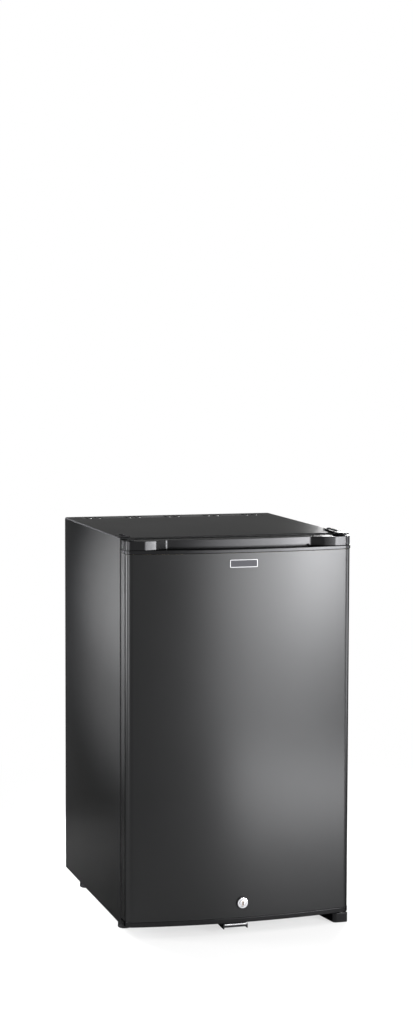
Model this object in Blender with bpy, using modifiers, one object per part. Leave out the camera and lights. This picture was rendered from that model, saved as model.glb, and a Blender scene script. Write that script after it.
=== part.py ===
"""Absorption minibar fridge: painted steel cabinet, bowed lockable door, racks,
wire shelves and the cooling unit in the bay behind the insulated box.

+Z is up, the door faces -Y and hangs on its right-hand side.
The origin is on the floor, under the middle of the whole fridge.
"""
import math

import bmesh
import bpy
from mathutils import Matrix, Vector

mm = 0.001

# Clearances
gap = 0.3 * mm
overshoot = 5 * mm

# Cabinet
cabinet_width = 402 * mm
cabinet_depth = 420 * mm
cabinet_height = 667.5 * mm
cabinet_corner = 3 * mm
sheet = 0.8 * mm
front_fold = 34 * mm
bottom_fold = 34 * mm
top_fold = 36 * mm
rear_fold = 12 * mm
bay_depth = 94 * mm
panel_thickness = 0.8 * mm

# Vent strip in the top, over the cooling unit
vent_margin = 22 * mm
vent_depth = 46 * mm
vent_rear_margin = 5 * mm
vent_rim = 4 * mm
vent_rim_thickness = 1.4 * mm
vent_bar_thickness = 1.8 * mm
vent_end = 48 * mm
vent_groups = 5
vent_slots_per_group = 4
vent_slot_pitch = 9 * mm
vent_slot_width = 4 * mm
vent_slot_length = 28 * mm
inlet_slots = 12
inlet_slot_pitch = 28 * mm
inlet_slot_width = 8 * mm
inlet_slot_length = 52 * mm

# Feet and the floor
foot_height = 16 * mm
foot_radius = 12 * mm
foot_waist = 1 * mm
foot_tread = 5 * mm
foot_inset = 17.5 * mm
front_foot_back = 36 * mm

# Inner liner
liner_wall = 1.5 * mm
liner_flange = 15 * mm
liner_corner = 16 * mm
side_foam = 38 * mm
rear_foam = 40 * mm
cavity_floor = 38 * mm
cavity_ceiling_drop = 40 * mm
ledge_count = 4
ledge_first = 120 * mm
ledge_pitch = 90 * mm
ledge_depth = 9 * mm
ledge_height = 7 * mm
ledge_front = 18 * mm
ledge_back = 30 * mm

# Shelves
shelf_rod = 2.6 * mm
shelf_wire = 1.5 * mm
wire_rise = 1.4 * mm
wire_end = 1 * mm
shelf_wires = 13
shelf_side_clearance = 1.2 * mm
shelf_front = 96 * mm
shelf_back_clearance = 6 * mm
shelf_corner = 22 * mm

# Evaporator, drip tray and drain
evaporator_width = 190 * mm
evaporator_height = 108 * mm
evaporator_drop = 20 * mm
evaporator_base = 4 * mm
evaporator_fin_depth = 24 * mm
evaporator_fin = 1.6 * mm
evaporator_fins = 14
tray_margin = 10 * mm
tray_depth = 38 * mm
tray_height = 18 * mm
tray_wall = 1.5 * mm
tray_corner = 4 * mm
tray_below = 12 * mm
drain_radius = 4 * mm
drain_side = -60 * mm
drain_standoff = 6 * mm
drain_bend = 8 * mm
drain_end = 8 * mm
cup_width = 70 * mm
cup_depth = 56 * mm
cup_height = 22 * mm
cup_corner = 5 * mm

# Controls under the ceiling
control_width = 84 * mm
control_depth = 90 * mm
control_height = 38 * mm
control_inset = 23 * mm
control_front = 42 * mm
control_corner = 4 * mm
knob_radius = 13.5 * mm
knob_length = 15 * mm
knob_grip = 4 * mm
knob_skirt = 1.4 * mm
knob_edge = 1 * mm
knob_body = 6.8 * mm
lamp_width = 42 * mm
lamp_depth = 70 * mm
lamp_height = 26 * mm
lamp_setback = 10 * mm
lamp_corner = 5 * mm

# Door
gasket_gap = 9 * mm
door_thickness = 54 * mm
door_side_flat = 23 * mm
door_corner = 14.5 * mm
door_bottom_gap = 4 * mm
door_top_drop = 2 * mm
bottom_cap_height = 8.5 * mm
bottom_cap_proud = 0.6 * mm
band_height = 6.2 * mm
band_proud = 1.0 * mm
grip_height = 15.7 * mm
skin_fold = 9.5 * mm
gasket_width = 18 * mm
gasket_side_inset = 15 * mm
gasket_bottom = 14 * mm
gasket_top_inset = 17.5 * mm
gasket_corner = 6 * mm
gasket_groove_width = 3.6 * mm
gasket_groove_depth = 4 * mm
door_liner_thickness = 1.2 * mm
door_liner_side_inset = 10 * mm
door_liner_end_inset = 10 * mm

# Scooped grip in the door's top cap
grip_mouth_inset = 33 * mm
grip_shoulder_run = 18 * mm
grip_shoulder_depth = 6 * mm
grip_slope_run = 21 * mm
grip_slope_radius = 9 * mm
grip_depth = 18 * mm
groove_lip = 4.5 * mm
groove_depth = 18 * mm
groove_wall = 2 * mm
undercut = 6 * mm
undercut_height = 3.6 * mm

# Raised frame and racks inside the door
frame_side_inset = 49 * mm
frame_bottom = 50 * mm
frame_top_drop = 52 * mm
frame_rib = 14 * mm
frame_rise = 27 * mm
frame_corner = 10 * mm
ring_corner = 2 * mm
lug_setback = 5 * mm
rack_depth = 82 * mm
rack_wall = 2 * mm
lower_rack_height = 78 * mm
upper_rack_height = 58 * mm
lower_rack_level = 70 * mm
upper_rack_level = 315 * mm
rack_corner = 10 * mm
rack_lug = 10 * mm
rack_lug_height = 6 * mm
rack_key = 3 * mm
rack_key_width = 5 * mm
rack_key_back = 16 * mm
rack_key_end = 6 * mm
rack_lift = 12 * mm

# Hinges
pivot_inset = 11 * mm
pivot_forward = 31 * mm
hinge_plate_thickness = 2.5 * mm
pin_radius = 3 * mm
pin_flange_radius = 5.5 * mm
pin_flange = 1.2 * mm
bush_wall = 1.7 * mm
bush_flange_radius = 6.8 * mm
bush_flange = 1.3 * mm
bush_length = 8 * mm
upper_arm_radius = 10 * mm
upper_plate_back = 56 * mm
upper_plate_half = 9 * mm
lower_plate_half = 7.4 * mm
upper_plate_step = 3 * mm
upper_step_back = 22 * mm
pin_edge = 0.6 * mm
pin_short = 1 * mm
pin_sides = 20
block_front = 40 * mm
block_back = 52 * mm
block_width = 26.6 * mm
block_corner = 7 * mm
block_corner_steps = 3
block_edge = 3 * mm
block_flare = 7 * mm
block_flare_back = 15 * mm
block_proud = 1.0 * mm
block_wall = 3 * mm
cover_length = 34 * mm
cover_width = 20 * mm
cover_thickness = 1.4 * mm
cover_front = 10 * mm
cover_corner = 4 * mm
cover_dome_spacing = 16 * mm
cover_dome_radius = 4.2 * mm
cover_dome_height = 1.6 * mm
cover_dome_crown = 0.87

# Lock
lock_height = 34.4 * mm
lock_bezel_radius = 10.8 * mm
lock_bezel_wall = 1.3 * mm
lock_bezel_rise = 2.0 * mm
lock_edge = 0.7 * mm
lock_sides = 28
lock_face_radius = 9.2 * mm
lock_face_rise = 3.4 * mm
lock_sleeve_radius = 8 * mm
lock_plug_radius = 5.8 * mm
lock_plug_rise = 4.2 * mm
lock_depth = 22 * mm
keyhole_width = 2.4 * mm
keyhole_height = 7.6 * mm
keyhole_depth = 7 * mm
nut_radius = 11 * mm
nut_thickness = 4 * mm
cam_thickness = 2.5 * mm
cam_width = 11 * mm
cam_reach = 43 * mm
cam_tip_share = 0.3
cam_steps = 8
cam_room = 1.5 * mm
latch_centre = -9 * mm
latch_width = 44 * mm
latch_sheet = 1.8 * mm
latch_drop = 8.5 * mm
latch_front = 54 * mm
latch_back = 48 * mm
latch_lip = 5.8 * mm
latch_rear_height = 4.8 * mm
latch_cheek = 12 * mm

# Cooling unit
pipe_radius = 7 * mm
pipe_bend = 26 * mm
condenser_bend = 22 * mm
exchanger_radius = 9.1 * mm
exchanger_bend = 21 * mm
unit_offset = 30.2 * mm
casing_width = 88 * mm
casing_depth = 76 * mm
casing_bottom = 110 * mm
casing_height = 230 * mm
casing_inset = 51 * mm
casing_corner = 12 * mm
condenser_inset = 51 * mm
condenser_drop = 75.5 * mm
condenser_rise = 14 * mm
feed_drop = 47 * mm
fin_count = 13
fin_pitch = 12.5 * mm
fin_start = 58 * mm
fin_width = 46 * mm
fin_height = 44 * mm
fin_thickness = 1 * mm
coil_inset = 51 * mm
coil_width = 170 * mm
coil_drop = 112 * mm
coil_pitch = 62 * mm
coil_fall = 4 * mm
coil_runs = 5
vessel_inset = 23 * mm
vessel_length = 200 * mm
vessel_height = 72 * mm
vessel_radius = 29.6 * mm
vessel_dome = 10 * mm
vessel_dome_steps = 4
strap_inset = 38 * mm
strap_spacing = 92 * mm
strap_half_width = 9 * mm
strap_foot = 9 * mm
strap_sheet = 1.5 * mm
strap_bottom = 150 * mm
strap_top = 500 * mm
terminal_inset = 17 * mm
terminal_width = 66 * mm
terminal_depth = 38 * mm
terminal_height = 60 * mm
terminal_bottom = 392 * mm
terminal_corner = 3 * mm
gland_inset = 26 * mm
gland_radius = 9 * mm
gland_length = 18 * mm
gland_nut = 9 * mm
gland_taper = 3.4 * mm
gland_wall = 1.8 * mm
lead_radius = 2.6 * mm
lead_setback = 6 * mm
lead_side = 12 * mm
lead_height = 33 * mm
lead_bend = 12 * mm

# Places that follow from the sizes
half_width = cabinet_width / 2
front_reach = gasket_gap + door_thickness + lock_plug_rise
front_y = (front_reach - cabinet_depth) / 2
back_y = front_y + cabinet_depth
base_z = foot_height
top_z = base_z + cabinet_height
panel_y = back_y - bay_depth
bay_y = panel_y + panel_thickness
unit_y = bay_y + unit_offset
rear_foot_back = cabinet_depth - bay_depth
vent_group_pitch = 2 * (half_width - vent_end) / (vent_groups - 1)
cavity_half_width = half_width - side_foam
cavity_depth = cabinet_depth - bay_depth - rear_foam
ledge_levels = [ledge_first + number * ledge_pitch for number in range(ledge_count)]
control_right = cavity_half_width - control_inset
cavity_z = base_z + cavity_floor
ceiling_z = top_z - cavity_ceiling_drop
liner_y = front_y + sheet + gap
cavity_back_y = front_y + cavity_depth

door_rear_y = front_y - gasket_gap
door_front_y = door_rear_y - door_thickness
corner_centre_y = door_rear_y - door_side_flat
corner_centre_x = half_width - door_corner
corner_to_front = corner_centre_y - door_front_y
bow_radius = (corner_centre_x ** 2 + corner_to_front ** 2 - door_corner ** 2) / (
    2 * (corner_to_front - door_corner))
bow_centre_y = door_front_y + bow_radius
bow_angle = math.asin(corner_centre_x / (bow_radius - door_corner))

door_bottom_z = base_z + door_bottom_gap
bottom_cap_top_z = door_bottom_z + bottom_cap_height
grip_top_z = top_z - door_top_drop
grip_bottom_z = grip_top_z - grip_height
band_top_z = grip_bottom_z - gap
band_bottom_z = band_top_z - band_height
skin_bottom_z = bottom_cap_top_z + gap
skin_top_z = band_bottom_z - gap
door_liner_y = door_rear_y - door_liner_thickness
foam_rear_y = door_liner_y - gap
grip_mouth_half = half_width - grip_mouth_inset
grip_shoulder_half = grip_mouth_half - grip_shoulder_run
grip_back_half = grip_shoulder_half - grip_slope_run
groove_floor_z = band_top_z - groove_depth

pivot_x = half_width - pivot_inset
pivot_y = front_y - pivot_forward
lock_z = door_bottom_z + lock_height
cam_y = door_front_y + lock_depth
frame_half_width = half_width - frame_side_inset
frame_top_z = top_z - frame_top_drop
frame_bottom_z = base_z + frame_bottom
bush_radius = pin_radius + gap + bush_wall
rack_places = ((lower_rack_level, lower_rack_height), (upper_rack_level, upper_rack_height))

casing_left = half_width - casing_inset - casing_width
casing_x = casing_left + casing_width / 2
condenser_end = -half_width + condenser_inset
condenser_height = cabinet_height - condenser_drop
feed_height = condenser_height - feed_drop
fin_first = condenser_end + fin_start
coil_left = -half_width + coil_inset
coil_right = coil_left + coil_width
coil_top = condenser_height - coil_drop
vessel_left = -half_width + vessel_inset
terminal_left = half_width - terminal_inset - terminal_width


# Scene and materials

for old_object in list(bpy.data.objects):
    bpy.data.objects.remove(old_object, do_unlink=True)

parts = bpy.data.collections.new("minibar_fridge")
cutters = bpy.data.collections.new("cutters")
bpy.context.scene.collection.children.link(parts)
bpy.context.scene.collection.children.link(cutters)


def make_material(name, colour, roughness, metallic):
    material = bpy.data.materials.new(name)
    material.use_nodes = True
    shader = material.node_tree.nodes["Principled BSDF"]
    shader.inputs["Base Color"].default_value = (*colour, 1)
    shader.inputs["Roughness"].default_value = roughness
    shader.inputs["Metallic"].default_value = metallic
    material.diffuse_color = (*colour, 1)
    return material


painted_steel = make_material("painted_steel", (0.045, 0.046, 0.048), 0.42, 0.0)
black_plastic = make_material("black_plastic", (0.018, 0.018, 0.02), 0.5, 0.0)
grey_plastic = make_material("charcoal_plastic", (0.05, 0.05, 0.053), 0.45, 0.0)
white_plastic = make_material("white_plastic", (0.78, 0.79, 0.78), 0.35, 0.0)
clear_plastic = make_material("clear_plastic", (0.72, 0.78, 0.8), 0.12, 0.0)
soft_rubber = make_material("gasket_rubber", (0.02, 0.02, 0.02), 0.7, 0.0)
foam = make_material("foam", (0.72, 0.62, 0.38), 0.95, 0.0)
bright_steel = make_material("bright_steel", (0.62, 0.62, 0.63), 0.25, 1.0)
chrome = make_material("chrome", (0.8, 0.8, 0.82), 0.08, 1.0)
zinc_sheet = make_material("zinc_sheet", (0.5, 0.51, 0.52), 0.45, 1.0)
black_pipe = make_material("black_pipe", (0.02, 0.02, 0.021), 0.55, 0.0)
aluminium = make_material("aluminium", (0.7, 0.71, 0.72), 0.4, 1.0)
white_wire = make_material("white_wire", (0.8, 0.8, 0.79), 0.3, 0.0)


# Modelling helpers

def add_object(name, mesh, location=(0, 0, 0), material=None, collection=parts):
    item = bpy.data.objects.new(name, mesh)
    item.location = location
    collection.objects.link(item)
    if material:
        mesh.materials.append(material)
    if collection is cutters:
        item.hide_render = True
        item.display_type = "WIRE"
    return item


def mesh_from(name, shape):
    mesh = bpy.data.meshes.new(name)
    shape.to_mesh(mesh)
    shape.free()
    return mesh


def block(name, low, high, material=None, collection=parts):
    """A box between two corners, with its origin in its middle."""
    low = Vector(low)
    high = Vector(high)
    shape = bmesh.new()
    bmesh.ops.create_cube(shape, size=1, matrix=Matrix.Diagonal((*(high - low), 1)))
    return add_object(name, mesh_from(name, shape), (low + high) / 2, material, collection)


def cylinder(name, radius, low, high, material=None, collection=parts, sides=24):
    """A cylinder between two points on a line along X, Y or Z."""
    low = Vector(low)
    high = Vector(high)
    span = high - low
    turn = span.to_track_quat("Z", "Y").to_matrix().to_4x4()
    shape = bmesh.new()
    bmesh.ops.create_cone(shape, cap_ends=True, segments=sides, radius1=radius, radius2=radius,
                          depth=span.length, matrix=turn)
    item = add_object(name, mesh_from(name, shape), (low + high) / 2, material, collection)
    shade(item)
    return item


def shade(item, angle=35):
    item.data.shade_smooth()
    item.data.set_sharp_from_angle(angle=math.radians(angle))


def mesh_of_curve(name, curve_object, material, collection):
    """Turns a curve into a welded mesh whose faces point out."""
    bpy.context.view_layer.update()
    evaluated = curve_object.evaluated_get(bpy.context.evaluated_depsgraph_get())
    mesh = bpy.data.meshes.new_from_object(evaluated)
    mesh.name = name
    shape = bmesh.new()
    shape.from_mesh(mesh)
    bmesh.ops.remove_doubles(shape, verts=shape.verts, dist=0.005 * mm)
    bmesh.ops.recalc_face_normals(shape, faces=shape.faces)
    shape.to_mesh(mesh)
    shape.free()
    mesh.materials.clear()
    item = add_object(name, mesh, (0, 0, 0), material, collection)
    item.matrix_world = curve_object.matrix_world.copy()
    curve = curve_object.data
    bpy.data.objects.remove(curve_object, do_unlink=True)
    bpy.data.curves.remove(curve)
    return item


def prism(name, outlines, low, high, material=None, collection=parts, axis="Z"):
    """A flat outline, with any holes after it, stood between two heights along an axis."""
    if not isinstance(outlines[0][0], tuple):
        outlines = [outlines]
    curve = bpy.data.curves.new(name, "CURVE")
    curve.dimensions = "2D"
    curve.fill_mode = "BOTH"
    curve.extrude = (high - low) / 2
    for outline in outlines:
        spline = curve.splines.new("POLY")
        spline.points.add(len(outline) - 1)
        spline.use_cyclic_u = True
        for point, place in zip(spline.points, outline):
            point.co = (*place, 0, 1)
    guide = bpy.data.objects.new(name + "_outline", curve)
    cutters.objects.link(guide)
    middle = (low + high) / 2
    if axis == "Z":
        guide.matrix_world = Matrix.Translation((0, 0, middle))
    elif axis == "Y":
        guide.matrix_world = Matrix.Translation((0, middle, 0)) @ Matrix.Rotation(math.pi / 2, 4, "X")
    else:
        turn = Matrix(((0, 0, 1, 0), (1, 0, 0, 0), (0, 1, 0, 0), (0, 0, 0, 1)))
        guide.matrix_world = Matrix.Translation((middle, 0, 0)) @ turn
    return mesh_of_curve(name, guide, material, collection)


def bent_path(corners, radius, steps=5):
    """Points along straight runs whose corners are rounded to one radius."""
    corners = [Vector(corner) for corner in corners]
    points = [corners[0]]
    for before, corner, after in zip(corners, corners[1:], corners[2:]):
        towards = (before - corner).normalized()
        away = (after - corner).normalized()
        turn = math.pi - towards.angle(away)
        if turn < 0.02:
            points.append(corner)
            continue
        setback = radius * math.tan(turn / 2)
        centre = corner + (towards + away).normalized() * (radius / math.cos(turn / 2))
        start = corner + towards * setback - centre
        axis = start.cross(corner + away * setback - centre).normalized()
        for step in range(steps + 1):
            arm = Matrix.Rotation(turn * step / steps, 3, axis) @ start
            points.append(centre + arm)
    points.append(corners[-1])
    return points


def rod(name, points, radius, material=None, collection=parts, closed=False, sides=2):
    """A round rod or pipe along a path, with filled ends, as a mesh."""
    curve = bpy.data.curves.new(name, "CURVE")
    curve.dimensions = "3D"
    curve.bevel_depth = radius
    curve.bevel_resolution = sides
    curve.use_fill_caps = True
    spline = curve.splines.new("POLY")
    spline.points.add(len(points) - 1)
    spline.use_cyclic_u = closed
    for point, place in zip(spline.points, points):
        point.co = (*place, 1)
    guide = bpy.data.objects.new(name + "_path", curve)
    cutters.objects.link(guide)
    item = mesh_of_curve(name, guide, material, collection)
    shade(item, 50)
    return item


def turned(name, profile, location, direction=(0, 0, 1), material=None, collection=parts, steps=24):
    """A turned piece: radius and height pairs, from the top axis point round to the bottom one."""
    shape = bmesh.new()
    corners = [shape.verts.new((radius, 0, height)) for radius, height in profile]
    for first, second in zip(corners, corners[1:]):
        shape.edges.new((first, second))
    if profile[0][0] > 0:
        shape.edges.new((corners[-1], corners[0]))
    item = add_object(name, mesh_from(name, shape), location, material, collection)
    item.rotation_mode = "QUATERNION"
    item.rotation_quaternion = Vector(direction).to_track_quat("Z", "Y")
    screw = item.modifiers.new("turn", "SCREW")
    screw.axis = "Z"
    screw.steps = steps
    screw.render_steps = steps
    screw.use_merge_vertices = True
    screw.merge_threshold = 0.01 * mm
    bpy.context.view_layer.update()
    item.data = bpy.data.meshes.new_from_object(item.evaluated_get(bpy.context.evaluated_depsgraph_get()))
    item.modifiers.clear()
    shade(item)
    return item


def combine(item, other, operation):
    """A Boolean whose second shape is kept as a hidden guide."""
    for collection in list(other.users_collection):
        collection.objects.unlink(other)
    cutters.objects.link(other)
    other.hide_render = True
    other.display_type = "WIRE"
    modifier = item.modifiers.new(operation.lower(), "BOOLEAN")
    modifier.operation = operation
    modifier.object = other
    modifier.solver = "EXACT"
    return item


def cut(item, *others):
    for other in others:
        combine(item, other, "DIFFERENCE")
    return item


def join(item, *others):
    for other in others:
        combine(item, other, "UNION")
    return item


def round_edges(item, width, segments=3, directions=None):
    """Rounds every edge, or only the edges that run along the named axes."""
    shape = bmesh.new()
    shape.from_mesh(item.data)
    chosen = []
    for edge in shape.edges:
        run = (edge.verts[1].co - edge.verts[0].co).normalized()
        along = "XYZ"[max(range(3), key=lambda index: abs(run[index]))]
        if directions is None or along in directions:
            chosen.append(edge)
    bmesh.ops.bevel(shape, geom=chosen, offset=width, segments=segments, profile=0.5, affect="EDGES")
    shape.to_mesh(item.data)
    shape.free()
    shade(item)
    return item


def bevel_modifier(item, width, segments=2):
    modifier = item.modifiers.new("soft_edges", "BEVEL")
    modifier.width = width
    modifier.segments = segments
    modifier.limit_method = "ANGLE"
    modifier.angle_limit = math.radians(40)
    return item


def one_mesh(name, items, material):
    """Puts separate solids of the same kind in one named object."""
    bpy.context.view_layer.update()
    graph = bpy.context.evaluated_depsgraph_get()
    shape = bmesh.new()
    for item in items:
        mesh = item.evaluated_get(graph).to_mesh()
        mesh.transform(item.matrix_world)
        shape.from_mesh(mesh)
        item.evaluated_get(graph).to_mesh_clear()
    for item in items:
        bpy.data.objects.remove(item, do_unlink=True)
    whole = add_object(name, mesh_from(name, shape), (0, 0, 0), material)
    shade(whole)
    return whole


def hang_on(pivot_name, place, items):
    """An empty on a joint's axis, carrying the pieces that move with it."""
    pivot = bpy.data.objects.new(pivot_name, None)
    pivot.location = place
    pivot.empty_display_size = 20 * mm
    parts.objects.link(pivot)
    for item in items:
        item.parent = pivot
        item.matrix_parent_inverse = Matrix.Translation(-Vector(place))
    return pivot


# Door outline in plan

def bow_y(x, inset=0.0):
    """Where the door's bowed front is at a given x, moved in by an inset."""
    radius = bow_radius - inset
    return bow_centre_y - math.sqrt(radius ** 2 - x ** 2)


def door_path(inset, rear_y, corner_steps=6, bow_steps=16):
    """The door's side, corner, bow, corner and side, from rear left to rear right."""
    radius = door_corner - inset
    left = [(-half_width + inset, rear_y)]
    for step in range(corner_steps + 1):
        angle = math.pi + (math.pi / 2 - bow_angle) * step / corner_steps
        left.append((-corner_centre_x + radius * math.cos(angle), corner_centre_y + radius * math.sin(angle)))
    front = []
    for step in range(1, bow_steps):
        angle = bow_angle * (2 * step / bow_steps - 1)
        reach = bow_radius - inset
        front.append((reach * math.sin(angle), bow_centre_y - reach * math.cos(angle)))
    right = [(-x, y) for x, y in reversed(left)]
    return left + front + right


def bow_stretch(from_x, to_x, inset, steps=12):
    """Points along the bowed front between two x values."""
    points = []
    for step in range(steps + 1):
        x = from_x + (to_x - from_x) * step / steps
        points.append((x, bow_y(x, inset)))
    return points


# Cabinet

def make_cabinet_wrap():
    """Both sides and the top, folded from one sheet, with narrow folds round the front and the rear."""
    wrap = block("cabinet_wrap", (-half_width, front_y, base_z - 2 * overshoot), (half_width, back_y, top_z),
                 painted_steel)
    round_edges(wrap, cabinet_corner, 3, "Y")
    below = block("below_wrap", (-half_width - overshoot, front_y - overshoot, base_z - 3 * overshoot),
                  (half_width + overshoot, back_y + overshoot, base_z), collection=cutters)
    inner_half = half_width - sheet
    inside = block("wrap_inside", (-inner_half, front_y + sheet, base_z - 4 * overshoot),
                   (inner_half, back_y - sheet, top_z - sheet), collection=cutters)
    round_edges(inside, cabinet_corner - sheet, 3, "Y")
    window_half = half_width - front_fold
    window = block("wrap_window", (-window_half, front_y - overshoot, base_z - overshoot),
                   (window_half, front_y + 2 * overshoot, top_z - top_fold), collection=cutters)
    rear_half = half_width - rear_fold
    rear = block("wrap_rear", (-rear_half, back_y - 2 * overshoot, base_z - overshoot),
                 (rear_half, back_y + overshoot, top_z - rear_fold), collection=cutters)
    vent_half = half_width - vent_margin - vent_rim
    vent = block("wrap_vent", (-vent_half, vent_front_y() + vent_rim, top_z - overshoot),
                 (vent_half, vent_back_y() - vent_rim, top_z + overshoot), collection=cutters)
    return cut(wrap, below, inside, window, rear, vent)


def vent_front_y():
    return back_y - vent_rear_margin - vent_depth


def vent_back_y():
    return back_y - vent_rear_margin


def make_rear_vent():
    """A louvred moulding pushed up into the wrap's cut-out until it is flush, with a rim under the sheet."""
    opening_half = half_width - vent_margin - vent_rim - gap
    low = (-opening_half, vent_front_y() + vent_rim + gap, top_z - sheet - vent_bar_thickness)
    high = (opening_half, vent_back_y() - vent_rim - gap, top_z)
    vent = block("rear_vent_strip", low, high, grey_plastic)
    rim_top = top_z - sheet - gap
    rim = block("vent_rim", (-half_width + vent_margin, vent_front_y(), rim_top - vent_rim_thickness),
                (half_width - vent_margin, vent_back_y(), rim_top))
    join(vent, rim)
    slots = []
    middle_y = (vent_front_y() + vent_back_y()) / 2
    for group in range(vent_groups):
        group_x = (group - (vent_groups - 1) / 2) * vent_group_pitch
        for slot in range(vent_slots_per_group):
            x = group_x + (slot - (vent_slots_per_group - 1) / 2) * vent_slot_pitch
            slots.append(slot_cutter("vent_slot", x, middle_y, vent_slot_width, vent_slot_length, top_z))
    cut(vent, one_cutter("vent_slots", slots))
    return vent


def slot_cutter(name, x, y, width, length, z):
    """A cutter for one slot through a level sheet, long along Y."""
    low = (x - width / 2, y - length / 2, z - overshoot)
    high = (x + width / 2, y + length / 2, z + overshoot)
    return block(name, low, high, collection=cutters)


def one_cutter(name, items):
    whole = one_mesh(name, items, None)
    parts.objects.unlink(whole)
    cutters.objects.link(whole)
    whole.hide_render = True
    whole.display_type = "WIRE"
    return whole


def make_bottom_panel():
    inner_half = half_width - sheet - gap
    fold_half = half_width - front_fold - gap
    panel = block("bottom_panel", (-inner_half, front_y, base_z),
                  (inner_half, back_y - sheet - gap, base_z + bottom_fold), zinc_sheet)
    inside = block("bottom_inside", (-half_width, front_y + sheet, base_z + sheet),
                   (half_width, back_y + overshoot, base_z + 2 * front_fold), collection=cutters)
    cut(panel, inside)
    for side in (-1, 1):
        x_limits = sorted((side * fold_half, side * (half_width + overshoot)))
        corner = block("bottom_corner", (x_limits[0], front_y - overshoot, base_z - overshoot),
                       (x_limits[1], front_y + sheet + gap, base_z + 2 * front_fold), collection=cutters)
        cut(panel, corner)
    slots = []
    middle_y = (bay_y + back_y) / 2
    for number in range(inlet_slots):
        x = (number - (inlet_slots - 1) / 2) * inlet_slot_pitch
        slots.append(slot_cutter("inlet_slot", x, middle_y, inlet_slot_width, inlet_slot_length, base_z))
    cut(panel, one_cutter("inlet_slots", slots))
    return panel


def make_back_panel():
    inner_half = half_width - sheet - gap
    panel = block("back_panel", (-inner_half, panel_y, base_z + sheet + gap),
                  (inner_half, bay_y, top_z - sheet - gap), zinc_sheet)
    for side in (-1, 1):
        x_limits = sorted((side * (inner_half - 2 * cabinet_corner), side * (half_width + overshoot)))
        notch = block("panel_notch", (x_limits[0], panel_y - overshoot, top_z - sheet - gap - cabinet_corner),
                      (x_limits[1], bay_y + overshoot, top_z + overshoot), collection=cutters)
        cut(panel, notch)
    cut(panel, drain_hole())
    return panel


def drain_hole():
    z = tray_bottom_z() + tray_height / 2
    return cylinder("drain_hole", drain_radius + gap, (drain_side, cavity_back_y - 2 * overshoot, z),
                    (drain_side, bay_y + overshoot, z), collection=cutters, sides=12)


def make_insulation():
    inner_half = half_width - sheet - gap
    foam_front_y = liner_y + liner_wall + gap
    body = block("insulation_foam", (-inner_half, foam_front_y, base_z + sheet + gap),
                 (inner_half, panel_y - gap, top_z - sheet - gap), foam)
    round_edges(body, cabinet_corner + sheet, 2, "Y")
    cut(body, liner_block("foam_cavity", liner_wall + gap, foam_front_y - overshoot), drain_hole())
    return body


def liner_block(name, grow, start_y):
    """The liner's inside, grown outwards by a wall or a clearance."""
    item = block(name, (-cavity_half_width - grow, start_y, cavity_z - grow),
                 (cavity_half_width + grow, cavity_back_y + grow, ceiling_z + grow), collection=cutters)
    shape = bmesh.new()
    shape.from_mesh(item.data)
    chosen = []
    for edge in shape.edges:
        if max(vertex.co.y for vertex in edge.verts) > 0:
            chosen.append(edge)
    bmesh.ops.bevel(shape, geom=chosen, offset=liner_corner + grow, segments=3, profile=0.5, affect="EDGES")
    shape.to_mesh(item.data)
    shape.free()
    shade(item)
    return item


def make_inner_liner():
    flange_half = cavity_half_width + liner_flange
    liner = block("inner_liner", (-flange_half, liner_y, cavity_z - liner_flange),
                  (flange_half, liner_y + liner_wall, ceiling_z + liner_flange), white_plastic)
    join(liner, liner_block("liner_outside", liner_wall, liner_y + liner_wall / 2))
    cut(liner, liner_block("liner_inside", 0, front_y - 4 * overshoot))
    for level in ledge_levels:
        for side in (-1, 1):
            tip = side * (cavity_half_width - ledge_depth)
            root = side * (cavity_half_width + liner_wall / 2)
            ledge = block("ledge", (min(tip, root), front_y + ledge_front, base_z + level - ledge_height),
                          (max(tip, root), cavity_back_y - ledge_back, base_z + level))
            join(liner, ledge)
    cut(liner, drain_hole())
    return liner


def make_foot(name, x, y):
    """A round foot with a drawn-in waist above its tread."""
    waist = foot_radius - foot_waist
    tread_top = foot_tread - foot_height
    profile = [(0, -gap), (waist - foot_waist, -gap), (waist, -gap - 2 * foot_waist)]
    profile += [(waist, tread_top + foot_waist), (foot_radius, tread_top)]
    profile += [(foot_radius, foot_waist - foot_height), (waist, -foot_height), (0, -foot_height)]
    return turned(name, profile, (x, y, base_z), material=black_plastic, steps=20)


def make_feet():
    foot_x = half_width - foot_inset
    make_foot("foot_front_left", -foot_x, front_y + front_foot_back)
    make_foot("foot_rear_left", -foot_x, front_y + rear_foot_back)
    make_foot("foot_rear_right", foot_x, front_y + rear_foot_back)


# Inside the cabinet

def tray_bottom_z():
    return evaporator_bottom_z() - tray_below - tray_height


def evaporator_bottom_z():
    return ceiling_z - evaporator_drop - evaporator_height


def make_evaporator():
    half = evaporator_width / 2
    rear = cavity_back_y - gap
    low_z = evaporator_bottom_z()
    pitch = (evaporator_width - evaporator_fin) / (evaporator_fins - 1)
    outline = [(-half, rear)]
    for number in range(evaporator_fins):
        left = -half + number * pitch
        root = rear - evaporator_base
        tip = root - evaporator_fin_depth
        outline += [(left, root)] if number else []
        outline += [(left, tip), (left + evaporator_fin, tip)]
        if number < evaporator_fins - 1:
            outline.append((left + evaporator_fin, root))
    outline.append((half, rear))
    return prism("evaporator", outline, low_z, low_z + evaporator_height, aluminium)


def make_drip_tray():
    half = evaporator_width / 2 + tray_margin
    rear = cavity_back_y - gap
    bottom = tray_bottom_z()
    tray = block("drip_tray", (-half, rear - tray_depth, bottom), (half, rear, bottom + tray_height),
                 white_plastic)
    round_edges(tray, tray_corner, 2, "Z")
    inside = block("tray_inside", (-half + tray_wall, rear - tray_depth + tray_wall, bottom + tray_wall),
                   (half - tray_wall, rear - tray_wall, bottom + 2 * tray_height), collection=cutters)
    round_edges(inside, tray_corner - tray_wall, 2, "Z")
    cut(tray, inside, drain_hole())
    return tray


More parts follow.
